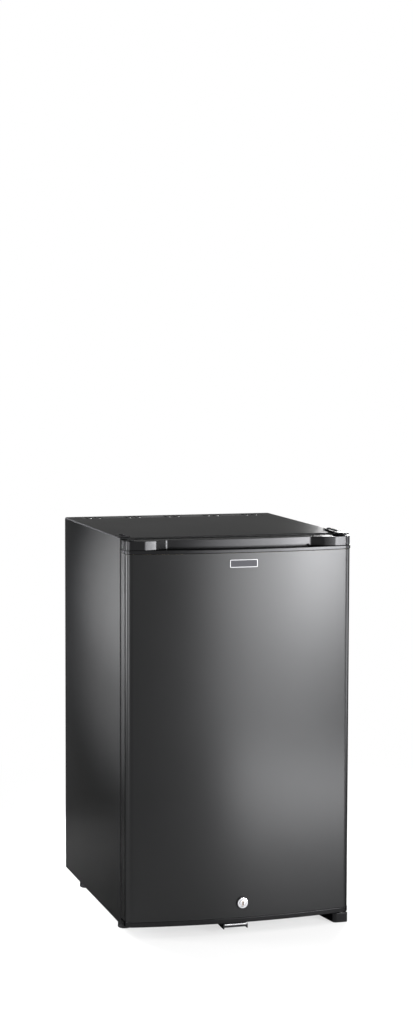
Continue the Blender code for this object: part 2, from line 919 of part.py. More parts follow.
def make_drain():
    z = tray_bottom_z() + tray_height / 2
    start_y = cavity_back_y - gap - tray_wall
    drop_y = bay_y + gap + drain_radius + drain_standoff
    end_z = cup_bottom_z() + tray_wall + drain_end
    corners = [(drain_side, start_y, z), (drain_side, drop_y, z), (drain_side, drop_y, end_z)]
    rod("drain_tube", bent_path(corners, drain_bend, 4), drain_radius, black_plastic, sides=1)
    low = (drain_side - cup_width / 2, unit_y - cup_depth / 2, cup_bottom_z())
    high = (drain_side + cup_width / 2, unit_y + cup_depth / 2, cup_bottom_z() + cup_height)
    cup = block("drain_cup", low, high, black_plastic)
    round_edges(cup, cup_corner, 2, "Z")
    inside = block("cup_inside", (low[0] + tray_wall, low[1] + tray_wall, low[2] + tray_wall),
                   (high[0] - tray_wall, high[1] - tray_wall, high[2] + overshoot), collection=cutters)
    round_edges(inside, cup_corner - tray_wall, 2, "Z")
    cut(cup, inside)


def cup_bottom_z():
    return base_z + vessel_height + vessel_radius + gap


def make_shelf(name, level):
    """A wire shelf lying on one pair of ledges."""
    rod_z = base_z + level + gap + shelf_rod
    half = cavity_half_width - shelf_side_clearance - shelf_rod
    front = front_y + shelf_front
    rear = cavity_back_y - shelf_back_clearance - shelf_rod
    corners = [(0, front, rod_z), (half, front, rod_z), (half, rear, rod_z), (-half, rear, rod_z),
               (-half, front, rod_z), (0, front, rod_z)]
    loop = bent_path(corners, shelf_corner, 4)[:-1]
    shelf = rod(name, loop, shelf_rod, white_wire, closed=True, sides=1)
    wires = []
    pitch = 2 * half / (shelf_wires + 1)
    wire_z = rod_z + wire_rise
    for number in range(shelf_wires):
        x = -half + pitch * (number + 1)
        ends = ((x, front - wire_end, wire_z), (x, rear + wire_end, wire_z))
        wires.append(cylinder("wire", shelf_wire, *ends, sides=6))
    join(shelf, one_cutter(name + "_wires", wires))
    centre = (0, (front + rear) / 2, rod_z)
    hang_on(name + "_runner", centre, [shelf])
    return shelf


def make_controls():
    left = control_right - control_width
    low = (left, front_y + control_front, ceiling_z - control_height)
    high = (control_right, front_y + control_front + control_depth, ceiling_z - gap)
    housing = block("control_housing", low, high, white_plastic)
    round_edges(housing, control_corner, 2)
    knob_x = (low[0] + high[0]) / 2
    knob_z = (low[2] + high[2]) / 2
    knob_y = low[1] - gap
    crown = knob_radius - 2 * knob_skirt
    profile = [(0, knob_length), (crown - knob_edge, knob_length), (crown, knob_length - knob_edge)]
    profile += [(knob_radius - knob_skirt, knob_skirt + knob_edge), (knob_radius, knob_skirt)]
    profile += [(knob_radius, 0), (0, 0)]
    knob = turned("thermostat_knob", profile, (knob_x, knob_y, knob_z), (0, -1, 0), white_plastic, steps=24)
    scoops = []
    for side in (-1, 1):
        near = knob_x + side * knob_grip / 2
        far = knob_x + side * 2 * knob_radius
        scoop_low = (min(near, far), knob_y - knob_length - overshoot, knob_z - 2 * knob_radius)
        scoop_high = (max(near, far), knob_y - knob_body, knob_z + 2 * knob_radius)
        scoops.append(block("knob_scoop", scoop_low, scoop_high, collection=cutters))
    cut(knob, *scoops)
    hang_on("thermostat_axis", (knob_x, knob_y, knob_z), [knob])
    lamp_right = left - gap
    lamp_y = low[1] + lamp_setback
    lamp = block("lamp_lens", (lamp_right - lamp_width, lamp_y, ceiling_z - lamp_height),
                 (lamp_right, lamp_y + lamp_depth, ceiling_z - gap), clear_plastic)
    round_edges(lamp, lamp_corner, 2)


# Door

def make_door_skin():
    outer = door_path(0, door_rear_y)
    inner = door_path(sheet, door_rear_y - sheet)
    outline = outer + [(half_width - skin_fold, door_rear_y), (half_width - skin_fold, door_rear_y - sheet)]
    outline += list(reversed(inner))
    outline += [(-half_width + skin_fold, door_rear_y - sheet), (-half_width + skin_fold, door_rear_y)]
    skin = prism("door_skin", outline, skin_bottom_z, skin_top_z, painted_steel)
    hole = cylinder("skin_lock_hole", lock_sleeve_radius + gap, (0, door_front_y - overshoot, lock_z),
                    (0, door_front_y + overshoot, lock_z), collection=cutters)
    cut(skin, hole)
    shade(skin, 25)
    return skin


def liner_seat():
    """Room that the caps leave for the edge of the inner door liner."""
    half = half_width - door_liner_side_inset + gap
    return block("liner_seat", (-half, foam_rear_y, door_bottom_z + door_liner_end_inset - gap),
                 (half, door_rear_y + overshoot, grip_top_z - door_liner_end_inset + gap), collection=cutters)


def bush_hole(side, z_low, z_high):
    x = side * pivot_x
    return cylinder("bush_hole", bush_radius + gap, (x, pivot_y, z_low), (x, pivot_y, z_high),
                    collection=cutters, sides=20)


def cam_pocket():
    """The room in the foam in which the lock's cam turns down."""
    side = cam_width / 2 + cam_room
    low = (-cam_reach - cam_room, cam_y - cam_thickness - cam_room, door_bottom_z - overshoot)
    return block("cam_pocket", low, (side, cam_y + cam_room, lock_z + side), collection=cutters)


def cam_slot(name, level, low_z, high_z):
    """The slot that the cam's tip sweeps through below a given level."""
    tip = math.hypot(cam_reach, cam_width * cam_tip_share)
    sweep = math.sqrt(tip ** 2 - (lock_z - level) ** 2)
    return block(name, (-sweep - cam_room, cam_y - cam_thickness - cam_room, low_z),
                 (cam_width / 2 + cam_room, cam_y + cam_room, high_z), collection=cutters)


def make_door_foam():
    inset = sheet + gap
    body = prism("door_foam", door_path(inset, foam_rear_y), skin_bottom_z, skin_top_z, foam)
    nut_front = cam_y - cam_thickness - nut_thickness - 3 * gap
    nut = cylinder("nut_room", nut_radius + 2 * gap, (0, nut_front, lock_z), (0, cam_y + cam_room, lock_z),
                   collection=cutters)
    sleeve = cylinder("sleeve_hole", lock_sleeve_radius + gap, (0, door_front_y - overshoot, lock_z),
                      (0, cam_y, lock_z), collection=cutters)
    grip = grip_pocket_block("foam_grip_room", groove_wall + gap, groove_floor_z - groove_wall - gap,
                             skin_top_z + overshoot)
    cut(body, cam_pocket(), nut, sleeve, grip)
    return body


def grip_pocket_block(name, grow, low_z, high_z):
    """The finger groove behind the lip, following the bowed front."""
    half = grip_back_half + grow
    front = bow_stretch(-half, half, groove_lip - grow)
    back = bow_stretch(half, -half, grip_depth + undercut + grow)
    return prism(name, front + back, low_z, high_z, collection=cutters)


def make_top_band():
    band = prism("door_top_band", door_path(-band_proud, door_rear_y), band_bottom_z, band_top_z,
                 grey_plastic)
    pocket = grip_pocket_block("band_pocket", groove_wall, groove_floor_z - groove_wall,
                               band_bottom_z + band_height / 2)
    groove = grip_pocket_block("band_groove", 0, groove_floor_z, band_top_z + overshoot)
    join(band, pocket)
    cut(band, groove, liner_seat())
    shade(band, 25)
    return band


def scoop_line():
    """The grip's left side wall: a shallow shoulder, a steeper slope and the start of the back wall."""
    inner = grip_back_half - 2 * grip_slope_radius
    corners = [(-grip_mouth_half, bow_y(grip_mouth_half), 0),
               (-grip_shoulder_half, bow_y(grip_shoulder_half) + grip_shoulder_depth, 0),
               (-grip_back_half, bow_y(grip_back_half, grip_depth), 0),
               (-inner, bow_y(inner, grip_depth), 0)]
    return [(point.x, point.y) for point in bent_path(corners, grip_slope_radius, 4)]


def make_grip_cap():
    """The top moulding of the door, scooped out across its middle for the fingers."""
    outline = door_path(0, door_rear_y)
    left = [place for place in outline if place[0] < -grip_mouth_half]
    right = [place for place in outline if place[0] > grip_mouth_half]
    wall = scoop_line()
    middle = bow_stretch(wall[-1][0], -wall[-1][0], grip_depth)[1:-1]
    scoop = wall + middle + [(-x, y) for x, y in reversed(wall)]
    cap = prism("door_grip_cap", left + scoop + right, grip_bottom_z, grip_top_z, grey_plastic)
    half = grip_back_half - undercut / 2
    room = bow_stretch(-half, half, grip_depth - overshoot) + bow_stretch(half, -half, grip_depth + undercut)
    slot = prism("grip_undercut", room, grip_bottom_z - overshoot, grip_bottom_z + undercut_height,
                 collection=cutters)
    cut(cap, slot, liner_seat())
    for side in (-1, 1):
        cut(cap, bush_hole(side, grip_top_z - bush_length - gap, grip_top_z + overshoot))
    shade(cap, 25)
    return cap


def make_bottom_cap():
    cap = prism("door_bottom_cap", door_path(-bottom_cap_proud, door_rear_y), door_bottom_z, bottom_cap_top_z,
                grey_plastic)
    slot = cam_slot("cap_slot", bottom_cap_top_z, door_bottom_z - overshoot, lock_z - cam_width)
    cut(cap, liner_seat(), slot)
    for side in (-1, 1):
        cut(cap, bush_hole(side, door_bottom_z - overshoot, bottom_cap_top_z + overshoot))
    shade(cap, 25)
    return cap


def ring(name, half, low_z, high_z, width, low_y, high_y, material=None, corner=0.0, collection=parts):
    """A rectangular frame standing in the XZ plane."""
    outer = block(name, (-half, low_y, low_z), (half, high_y, high_z), material, collection)
    inner = block(name + "_inside", (-half + width, low_y - overshoot, low_z + width),
                  (half - width, high_y + overshoot, high_z - width), collection=cutters)
    if corner:
        round_edges(outer, corner, 3, "Y")
        round_edges(inner, max(corner - width, ring_corner), 3, "Y")
    cut(outer, inner)
    return outer


def make_door_liner():
    half = half_width - door_liner_side_inset
    liner = block("door_liner", (-half, door_liner_y, door_bottom_z + door_liner_end_inset),
                  (half, door_rear_y, grip_top_z - door_liner_end_inset), white_plastic)
    rise_y = door_rear_y + frame_rise
    raised = ring("raised_frame", frame_half_width, frame_bottom_z, frame_top_z, frame_rib,
                  door_rear_y - door_liner_thickness / 2, rise_y, corner=frame_corner)
    join(liner, raised)
    key_y = door_rear_y + rack_key_back
    for level, height in rack_places:
        z = base_z + level
        for side in (-1, 1):
            inner = frame_half_width - frame_rib
            x_limits = sorted((side * (inner - rack_lug), side * (inner + frame_rib / 2)))
            lug_low = (x_limits[0], door_rear_y - door_liner_thickness / 2, z - gap - rack_lug_height)
            join(liner, block("rack_lug", lug_low, (x_limits[1], rise_y - lug_setback, z - gap)))
            x_limits = sorted((side * (inner - overshoot), side * (inner + rack_key + gap)))
            slot_high = (x_limits[1], key_y + rack_key_width + gap, z + height + rack_lift)
            slot = block("key_slot", (x_limits[0], key_y - gap, z - gap), slot_high, collection=cutters)
            cut(liner, slot)
    return liner


def make_rack(name, level, height):
    """A bottle rack: an open-topped bin keyed between the sides of the raised frame."""
    half = frame_half_width - frame_rib - gap
    rear = door_rear_y + gap
    front = rear + rack_depth
    z = base_z + level
    rack = block(name, (-half, rear, z), (half, front, z + height), clear_plastic)
    round_edges(rack, rack_corner, 3, "Z")
    inside = block(name + "_inside", (-half + rack_wall, rear + rack_wall, z + rack_wall),
                   (half - rack_wall, front - rack_wall, z + height + overshoot), collection=cutters)
    round_edges(inside, rack_corner - rack_wall, 3, "Z")
    cut(rack, inside)
    key_y = door_rear_y + rack_key_back
    for side in (-1, 1):
        x_limits = sorted((side * (half - rack_wall / 2), side * (half + rack_key)))
        key = block("rack_key", (x_limits[0], key_y, z + rack_key_end),
                    (x_limits[1], key_y + rack_key_width, z + height - rack_key_end))
        join(rack, key)
    return hang_on(name + "_runner", (0, key_y, z), [rack])


def make_gasket():
    half = half_width - gasket_side_inset
    low_z = base_z + gasket_bottom
    high_z = top_z - gasket_top_inset
    gasket = ring("door_gasket", half, low_z, high_z, gasket_width, door_rear_y + gap, front_y - gap,
                  soft_rubber, corner=gasket_corner)
    inset = (gasket_width - gasket_groove_width) / 2
    groove = ring("gasket_groove", half - inset, low_z + inset, high_z - inset, gasket_groove_width,
                  door_rear_y, door_rear_y + gasket_groove_depth, collection=cutters)
    return cut(gasket, groove)


# Hinges

def make_bushes():
    """Plastic bushes in both caps, with a spare pair on the left for a door turned round."""
    bushes = []
    for side, side_name in ((-1, "left"), (1, "right")):
        for up, end_name in ((-1, "lower"), (1, "upper")):
            face = grip_top_z if up > 0 else door_bottom_z
            profile = [(pin_radius + gap, gap + bush_flange), (bush_flange_radius, gap + bush_flange),
                       (bush_flange_radius, gap), (bush_radius, gap), (bush_radius, -bush_length),
                       (pin_radius + gap, -bush_length)]
            bushes.append(turned(end_name + "_bush_" + side_name, profile, (side * pivot_x, pivot_y, face),
                                 (0, 0, up), black_plastic, steps=pin_sides))
    return bushes


def arm_outline(centre, radius, rear_points, steps=10):
    """A plate outline with a round end towards the front."""
    points = []
    for step in range(steps + 1):
        angle = math.pi + math.pi * step / steps
        points.append((centre[0] + radius * math.cos(angle), centre[1] + radius * math.sin(angle)))
    return points + rear_points


def circle(centre, radius, sides):
    points = []
    for step in range(sides):
        angle = 2 * math.pi * step / sides
        points.append((centre[0] + radius * math.cos(angle), centre[1] + radius * math.sin(angle)))
    return points


def make_upper_hinge():
    right = pivot_x + upper_plate_half
    left = pivot_x - upper_plate_half
    rear = front_y + upper_plate_back
    rear_points = [(right, front_y), (right, rear), (left + upper_plate_step, rear),
                   (left + upper_plate_step, front_y + upper_step_back + upper_plate_step),
                   (left, front_y + upper_step_back), (left, front_y)]
    outline = arm_outline((pivot_x, pivot_y), upper_arm_radius, rear_points)
    hole = circle((pivot_x, pivot_y), pin_radius + gap, pin_sides)
    low = top_z + gap
    plate = prism("upper_hinge_plate", [outline, hole], low, low + hinge_plate_thickness, black_pipe)
    head = low + hinge_plate_thickness + gap
    tip = grip_top_z - bush_length + pin_short
    profile = [(0, pin_flange), (pin_flange_radius - pin_edge, pin_flange),
               (pin_flange_radius, pin_flange - pin_edge), (pin_flange_radius, 0), (pin_radius, 0),
               (pin_radius, tip - head), (0, tip - head)]
    turned("upper_hinge_pin", profile, (pivot_x, pivot_y, head), material=bright_steel, steps=pin_sides)
    return plate


def block_outline():
    """Plan of the foot block, wider towards the back."""
    left = half_width - block_width
    right = half_width
    front = front_y - block_front
    rear = front_y + block_back
    rounding = []
    for step in range(block_corner_steps + 1):
        angle = math.pi / 2 * step / block_corner_steps
        across = block_corner * (1 - math.cos(angle))
        along = block_corner * (1 - math.sin(angle))
        rounding.append((left + across, front + along))
    points = [(left - block_flare, front_y + block_flare_back)] + rounding
    points += [(right - block_edge, front), (right, front + block_edge), (right, rear)]
    return points + [(left - block_flare, rear)]


def lower_plate_outline(grow):
    """Plan of the lower hinge plate, or of its seat in the foot block when grown by a clearance."""
    half = lower_plate_half + grow
    rear = front_y + block_back - block_wall + grow
    return arm_outline((pivot_x, pivot_y), half, [(pivot_x + half, rear), (pivot_x - half, rear)])


def make_lower_hinge():
    """The steel plate under the cabinet that carries the lower pin, and the foot block moulded round it."""
    plate_top = base_z - gap
    plate_low = plate_top - hinge_plate_thickness
    prism("lower_hinge_plate", lower_plate_outline(0), plate_low, plate_top, bright_steel)
    foot_block = prism("hinge_foot_block", block_outline(), 0, base_z + block_proud, grey_plastic)
    under = block("block_under_cabinet", (0, front_y - gap, base_z - gap),
                  (half_width + overshoot, back_y, base_z + overshoot), collection=cutters)
    seat = prism("plate_seat", lower_plate_outline(gap), plate_low - gap, base_z + overshoot,
                 collection=cutters)
    cut(foot_block, under, seat)
    pin_top = door_bottom_z - plate_top + bush_length - pin_short
    profile = [(0, pin_top), (pin_radius - pin_edge, pin_top), (pin_radius, pin_top - pin_edge),
               (pin_radius, pin_flange), (pin_flange_radius, pin_flange), (pin_flange_radius, 0), (0, 0)]
    turned("lower_hinge_pin", profile, (pivot_x, pivot_y, plate_top + gap), material=bright_steel,
           steps=pin_sides)


def make_hole_cover():
    """Small cover over the spare hinge holes, on the left of the cabinet top."""
    x = -pivot_x
    low = (x - cover_width / 2, front_y + cover_front, top_z + gap)
    high = (x + cover_width / 2, front_y + cover_front + cover_length, top_z + gap + cover_thickness)
    cover = block("hinge_hole_cover", low, high, black_plastic)
    round_edges(cover, cover_corner, 2, "Z")
    profile = [(0, cover_dome_height), (cover_dome_radius / 2, cover_dome_height * cover_dome_crown),
               (cover_dome_radius, 0), (cover_dome_radius, -cover_thickness / 2), (0, -cover_thickness / 2)]
    for side in (-1, 1):
        y = (low[1] + high[1]) / 2 + side * cover_dome_spacing / 2
        join(cover, turned("cover_dome", profile, (x, y, high[2]), steps=12))


# Lock

def make_lock():
    bezel_inner = lock_bezel_radius - lock_bezel_wall
    bezel_profile = [(bezel_inner, lock_bezel_rise), (lock_bezel_radius - lock_edge, lock_bezel_rise)]
    bezel_profile += [(lock_bezel_radius, lock_bezel_rise - lock_edge), (lock_bezel_radius, gap)]
    bezel_profile.append((bezel_inner, gap))
    front = (0, door_front_y, lock_z)
    bezel = turned("lock_bezel", bezel_profile, front, (0, -1, 0), black_plastic, steps=lock_sides)
    bore = lock_plug_radius + gap
    back = -(lock_depth - cam_thickness - gap)
    barrel_profile = [(bore, lock_face_rise), (lock_face_radius - lock_edge, lock_face_rise),
                      (lock_face_radius, lock_face_rise - lock_edge), (lock_face_radius, gap),
                      (lock_sleeve_radius, gap), (lock_sleeve_radius, back), (bore, back)]
    barrel = turned("lock_barrel", barrel_profile, front, (0, -1, 0), chrome, steps=lock_sides)
    nut_back = cam_y - cam_thickness - gap
    nut = cylinder("lock_nut", nut_radius, (0, nut_back - nut_thickness, lock_z), (0, nut_back, lock_z),
                   bright_steel, sides=6)
    cut(nut, cylinder("nut_bore", lock_sleeve_radius + gap, (0, nut_back - 2 * nut_thickness, lock_z),
                      (0, nut_back + overshoot, lock_z), collection=cutters, sides=lock_sides))
    plug_back = cam_thickness - lock_depth
    plug_profile = [(0, lock_plug_rise), (lock_plug_radius - lock_edge, lock_plug_rise)]
    plug_profile += [(lock_plug_radius, lock_plug_rise - lock_edge), (lock_plug_radius, plug_back)]
    plug_profile.append((0, plug_back))
    plug = turned("lock_plug", plug_profile, front, (0, -1, 0), chrome, steps=lock_sides)
    keyhole_end = door_front_y - lock_plug_rise + keyhole_depth
    keyhole = block("keyhole",
                    (-keyhole_width / 2, door_front_y - 2 * overshoot, lock_z - keyhole_height / 2),
                    (keyhole_width / 2, keyhole_end, lock_z + keyhole_height / 2), collection=cutters)
    cut(plug, keyhole)
    tip_half = cam_width * cam_tip_share
    outline = [(-cam_reach, lock_z + tip_half), (-cam_reach, lock_z - tip_half)]
    for step in range(cam_steps + 1):
        angle = math.pi * (step / cam_steps - 0.5)
        outline.append((cam_width / 2 * math.cos(angle), lock_z + cam_width / 2 * math.sin(angle)))
    cam = prism("lock_cam", outline, cam_y - cam_thickness + gap, cam_y + gap, bright_steel, axis="Y")
    return [bezel, barrel, nut, hang_on("lock_axis", front, [plug, cam])]


def make_latch():
    """Catch bracket under the cabinet: a channel whose slot takes the lock's cam."""
    left = latch_centre - latch_width / 2
    right = latch_centre + latch_width / 2
    front = front_y - latch_front
    rear = front_y + latch_back
    top = base_z - gap
    latch = block("lock_catch_bracket", (left, front, top - latch_drop), (right, rear, top), black_pipe)
    inside = block("latch_inside", (left + latch_sheet, front + latch_sheet, top - latch_drop - overshoot),
                   (right - latch_sheet, rear + overshoot, top - latch_sheet), collection=cutters)
    lip = block("latch_lip", (left + latch_sheet, front - overshoot, top - latch_drop - overshoot),
                (right - latch_sheet, front + 2 * overshoot, top - latch_lip), collection=cutters)
    slope_start = front + latch_cheek
    slope_low = top - latch_drop - overshoot
    slope_outline = [(slope_start, top - latch_drop - gap), (rear + overshoot, top - latch_rear_height),
                     (rear + overshoot, slope_low), (slope_start, slope_low)]
    slope = prism("latch_slope", slope_outline, left - overshoot, right + overshoot,
                  collection=cutters, axis="X")
    slot = cam_slot("latch_slot", top, top - overshoot, top + overshoot)
    cut(latch, inside, lip, slope, slot)


# Cooling unit behind the back panel

def make_cooling_unit():
    casing_top = base_z + casing_bottom + casing_height
    casing = block("boiler_casing", (casing_left, bay_y + gap, base_z + casing_bottom),
                   (casing_left + casing_width, bay_y + gap + casing_depth, casing_top), zinc_sheet)
    round_edges(casing, casing_corner, 3, "Z")
    boiler_top = casing_top + gap
    start_z = base_z + condenser_height + condenser_rise
    end_z = base_z + condenser_height
    feed_z = base_z + feed_height
    corners = [(casing_x, unit_y, boiler_top), (casing_x, unit_y, start_z), (condenser_end, unit_y, end_z),
               (condenser_end, unit_y, feed_z), (condenser_end, bay_y + gap, feed_z)]
    condenser = rod("condenser", bent_path(corners, condenser_bend, 5), pipe_radius, black_pipe)
    slope = condenser_rise / (casing_x - condenser_end)
    fins = []
    for number in range(fin_count):
        x = fin_first + number * fin_pitch
        z = end_z + slope * (x - condenser_end)
        fins.append(block("fin", (x - fin_thickness / 2, unit_y - fin_width / 2, z - fin_height / 2),
                          (x + fin_thickness / 2, unit_y + fin_width / 2, z + fin_height / 2)))
    join(condenser, one_cutter("fins", fins))
    make_absorber()
    exchanger = [(vessel_left + vessel_length + gap, unit_y, base_z + vessel_height),
                 (casing_x, unit_y, base_z + vessel_height), (casing_x, unit_y, base_z + casing_bottom - gap)]
    rod("heat_exchanger", bent_path(exchanger, exchanger_bend, 5), exchanger_radius, black_pipe)
    make_strap("unit_strap_left", coil_left + strap_inset)
    make_strap("unit_strap_right", coil_left + strap_inset + strap_spacing)
    make_terminal_box(boiler_top)


def make_absorber():
    top = base_z + coil_top
    corners = [(coil_right, bay_y + gap, top), (coil_right, unit_y, top)]
    z = top
    side = coil_right
    for run in range(coil_runs):
        other = coil_left if side == coil_right else coil_right
        corners.append((other, unit_y, z - coil_fall))
        z -= coil_pitch
        if run < coil_runs - 1:
            corners.append((other, unit_y, z))
        side = other
    vessel_top = base_z + vessel_height + vessel_radius + gap
    corners.append((side, unit_y, vessel_top))
    rod("absorber_coil", bent_path(corners, pipe_bend, 5), pipe_radius, black_pipe)
    profile = [(0, vessel_length)]
    for step in range(1, vessel_dome_steps + 1):
        angle = math.pi / 2 * step / vessel_dome_steps
        height = vessel_length - vessel_dome + vessel_dome * math.cos(angle)
        profile.append((vessel_radius * math.sin(angle), height))
    profile += [(radius, vessel_length - height) for radius, height in reversed(profile)]
    turned("solution_vessel", profile, (vessel_left, unit_y, base_z + vessel_height), (1, 0, 0), black_pipe)


def make_strap(name, x):
    """A bent strap on the back panel that stands the pipes off."""
    low = bay_y + gap
    high = unit_y - pipe_radius - gap
    half = strap_half_width
    foot = half + strap_foot
    inner = half - strap_sheet
    foot_top = low + strap_sheet
    outline = [(x - foot, low), (x - inner, low), (x - inner, high - strap_sheet)]
    outline += [(x + inner, high - strap_sheet), (x + inner, low), (x + foot, low)]
    outline += [(x + foot, foot_top), (x + half, foot_top), (x + half, high)]
    outline += [(x - half, high), (x - half, foot_top), (x - foot, foot_top)]
    return prism(name, outline, base_z + strap_bottom, base_z + strap_top, zinc_sheet)


def make_terminal_box(boiler_top):
    low = (terminal_left, bay_y + gap, base_z + terminal_bottom)
    high = (low[0] + terminal_width, low[1] + terminal_depth, low[2] + terminal_height)
    box = block("terminal_box", low, high, black_plastic)
    round_edges(box, terminal_corner, 2)
    gland_x = high[0] - gland_inset
    gland_y = (low[1] + high[1]) / 2
    mouth = gland_radius - gland_taper
    bore = mouth - gland_wall
    profile = [(0, 0), (gland_radius, 0), (gland_radius, -gland_nut)]
    profile += [(gland_radius - gland_taper / 2, -gland_nut), (mouth, -gland_length)]
    profile += [(bore, -gland_length), (bore, -gland_nut), (0, -gland_nut)]
    turned("cord_gland", profile, (gland_x, gland_y, low[2] - gap), material=black_plastic, steps=16)
    lead_y = gland_y - lead_setback
    lead_x = casing_x - pipe_radius - lead_side
    lead_z = low[2] + lead_height
    corners = [(low[0] - gap, lead_y, lead_z), (lead_x, lead_y, lead_z), (lead_x, lead_y, boiler_top)]
    rod("heater_lead", bent_path(corners, lead_bend, 4), lead_radius, black_plastic, sides=1)


# The whole fridge

make_cabinet_wrap()
make_rear_vent()
make_bottom_panel()
make_back_panel()
make_insulation()
make_inner_liner()
make_feet()
make_evaporator()
make_drip_tray()
make_drain()
make_shelf("lower_shelf", ledge_levels[1])
make_shelf("upper_shelf", ledge_levels[-1])
make_controls()
make_upper_hinge()
make_lower_hinge()
make_hole_cover()
make_latch()
make_cooling_unit()
door_pieces = [make_door_skin(), make_door_foam(), make_top_band(), make_grip_cap(), make_bottom_cap(),
               make_door_liner(), make_gasket()] + make_lock() + make_bushes()
for rack_name, (rack_level, rack_height) in zip(("lower_rack", "upper_rack"), rack_places):
    door_pieces.append(make_rack(rack_name, rack_level, rack_height))
hang_on("door_pivot", (pivot_x, pivot_y, base_z), door_pieces)
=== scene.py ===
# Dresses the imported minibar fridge: smooth pieces over the frame, worked finishes, studio and camera
import math
import random

import bmesh
import bpy
from mathutils import Matrix, Vector


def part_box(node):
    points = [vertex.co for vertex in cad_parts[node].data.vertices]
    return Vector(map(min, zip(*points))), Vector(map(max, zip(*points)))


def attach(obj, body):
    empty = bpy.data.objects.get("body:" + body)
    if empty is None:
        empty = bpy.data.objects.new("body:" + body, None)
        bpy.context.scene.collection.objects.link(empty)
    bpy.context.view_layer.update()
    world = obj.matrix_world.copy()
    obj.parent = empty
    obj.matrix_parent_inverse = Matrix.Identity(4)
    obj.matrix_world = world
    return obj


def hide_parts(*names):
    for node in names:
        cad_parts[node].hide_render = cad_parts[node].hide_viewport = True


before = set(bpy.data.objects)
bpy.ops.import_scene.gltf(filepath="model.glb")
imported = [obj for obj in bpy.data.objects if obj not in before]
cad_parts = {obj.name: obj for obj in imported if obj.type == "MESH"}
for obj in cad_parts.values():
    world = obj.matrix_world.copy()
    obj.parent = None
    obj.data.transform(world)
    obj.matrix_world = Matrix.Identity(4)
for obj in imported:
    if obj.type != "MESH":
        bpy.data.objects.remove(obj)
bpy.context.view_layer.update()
scene = bpy.context.scene
mm = 0.001
random.seed(7)
print("stage: frame loaded,", len(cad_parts), "nodes")

# Sizes that many pieces share, in millimetres; Y is the front of the cabinet, Z its underside
cabinet = dict(half=201.0, frontY=-176.4, backY=243.6, baseZ=16.0, topZ=683.5, corner=3.0, sheet=0.8,
               frontFold=34.0, topFold=36.0, rearFold=12.0, bayY=150.4)
door = dict(rearY=-185.4, frontY=-239.4, sideFlat=23.0, corner=14.5, bottomZ=20.0, skinLow=28.8, skinHigh=659.0,
            bandLow=659.3, bandHigh=665.5, capLow=665.8, capHigh=681.5, pivotX=190.0, pivotY=-207.4)


# finishes
def linkUp(tree, pairs):
    for source, target in pairs:
        tree.links.new(source, target)


def noiseInto(tree, coords, scale, detail=3.0, rough=0.55, stretch=(1, 1, 1)):
    mapping = tree.nodes.new("ShaderNodeMapping")
    mapping.inputs["Scale"].default_value = stretch
    noise = tree.nodes.new("ShaderNodeTexNoise")
    noise.inputs["Scale"].default_value = scale
    noise.inputs["Detail"].default_value = detail
    noise.inputs["Roughness"].default_value = rough
    linkUp(tree, [(coords, mapping.inputs["Vector"]), (mapping.outputs["Vector"], noise.inputs["Vector"])])
    return noise


def spread(tree, value, low, high, fromLow=0.3, fromHigh=0.7):
    ranger = tree.nodes.new("ShaderNodeMapRange")
    ranger.inputs["From Min"].default_value = fromLow
    ranger.inputs["From Max"].default_value = fromHigh
    ranger.inputs["To Min"].default_value = low
    ranger.inputs["To Max"].default_value = high
    tree.links.new(value, ranger.inputs["Value"])
    return ranger.outputs["Result"]


def mixColours(tree, factor, first, second):
    mixer = tree.nodes.new("ShaderNodeMix")
    mixer.data_type = "RGBA"
    for socket, value in ((6, first), (7, second)):
        if isinstance(value, tuple):
            mixer.inputs[socket].default_value = (*value, 1)
        else:
            tree.links.new(value, mixer.inputs[socket])
    tree.links.new(factor, mixer.inputs[0])
    return mixer.outputs[2]


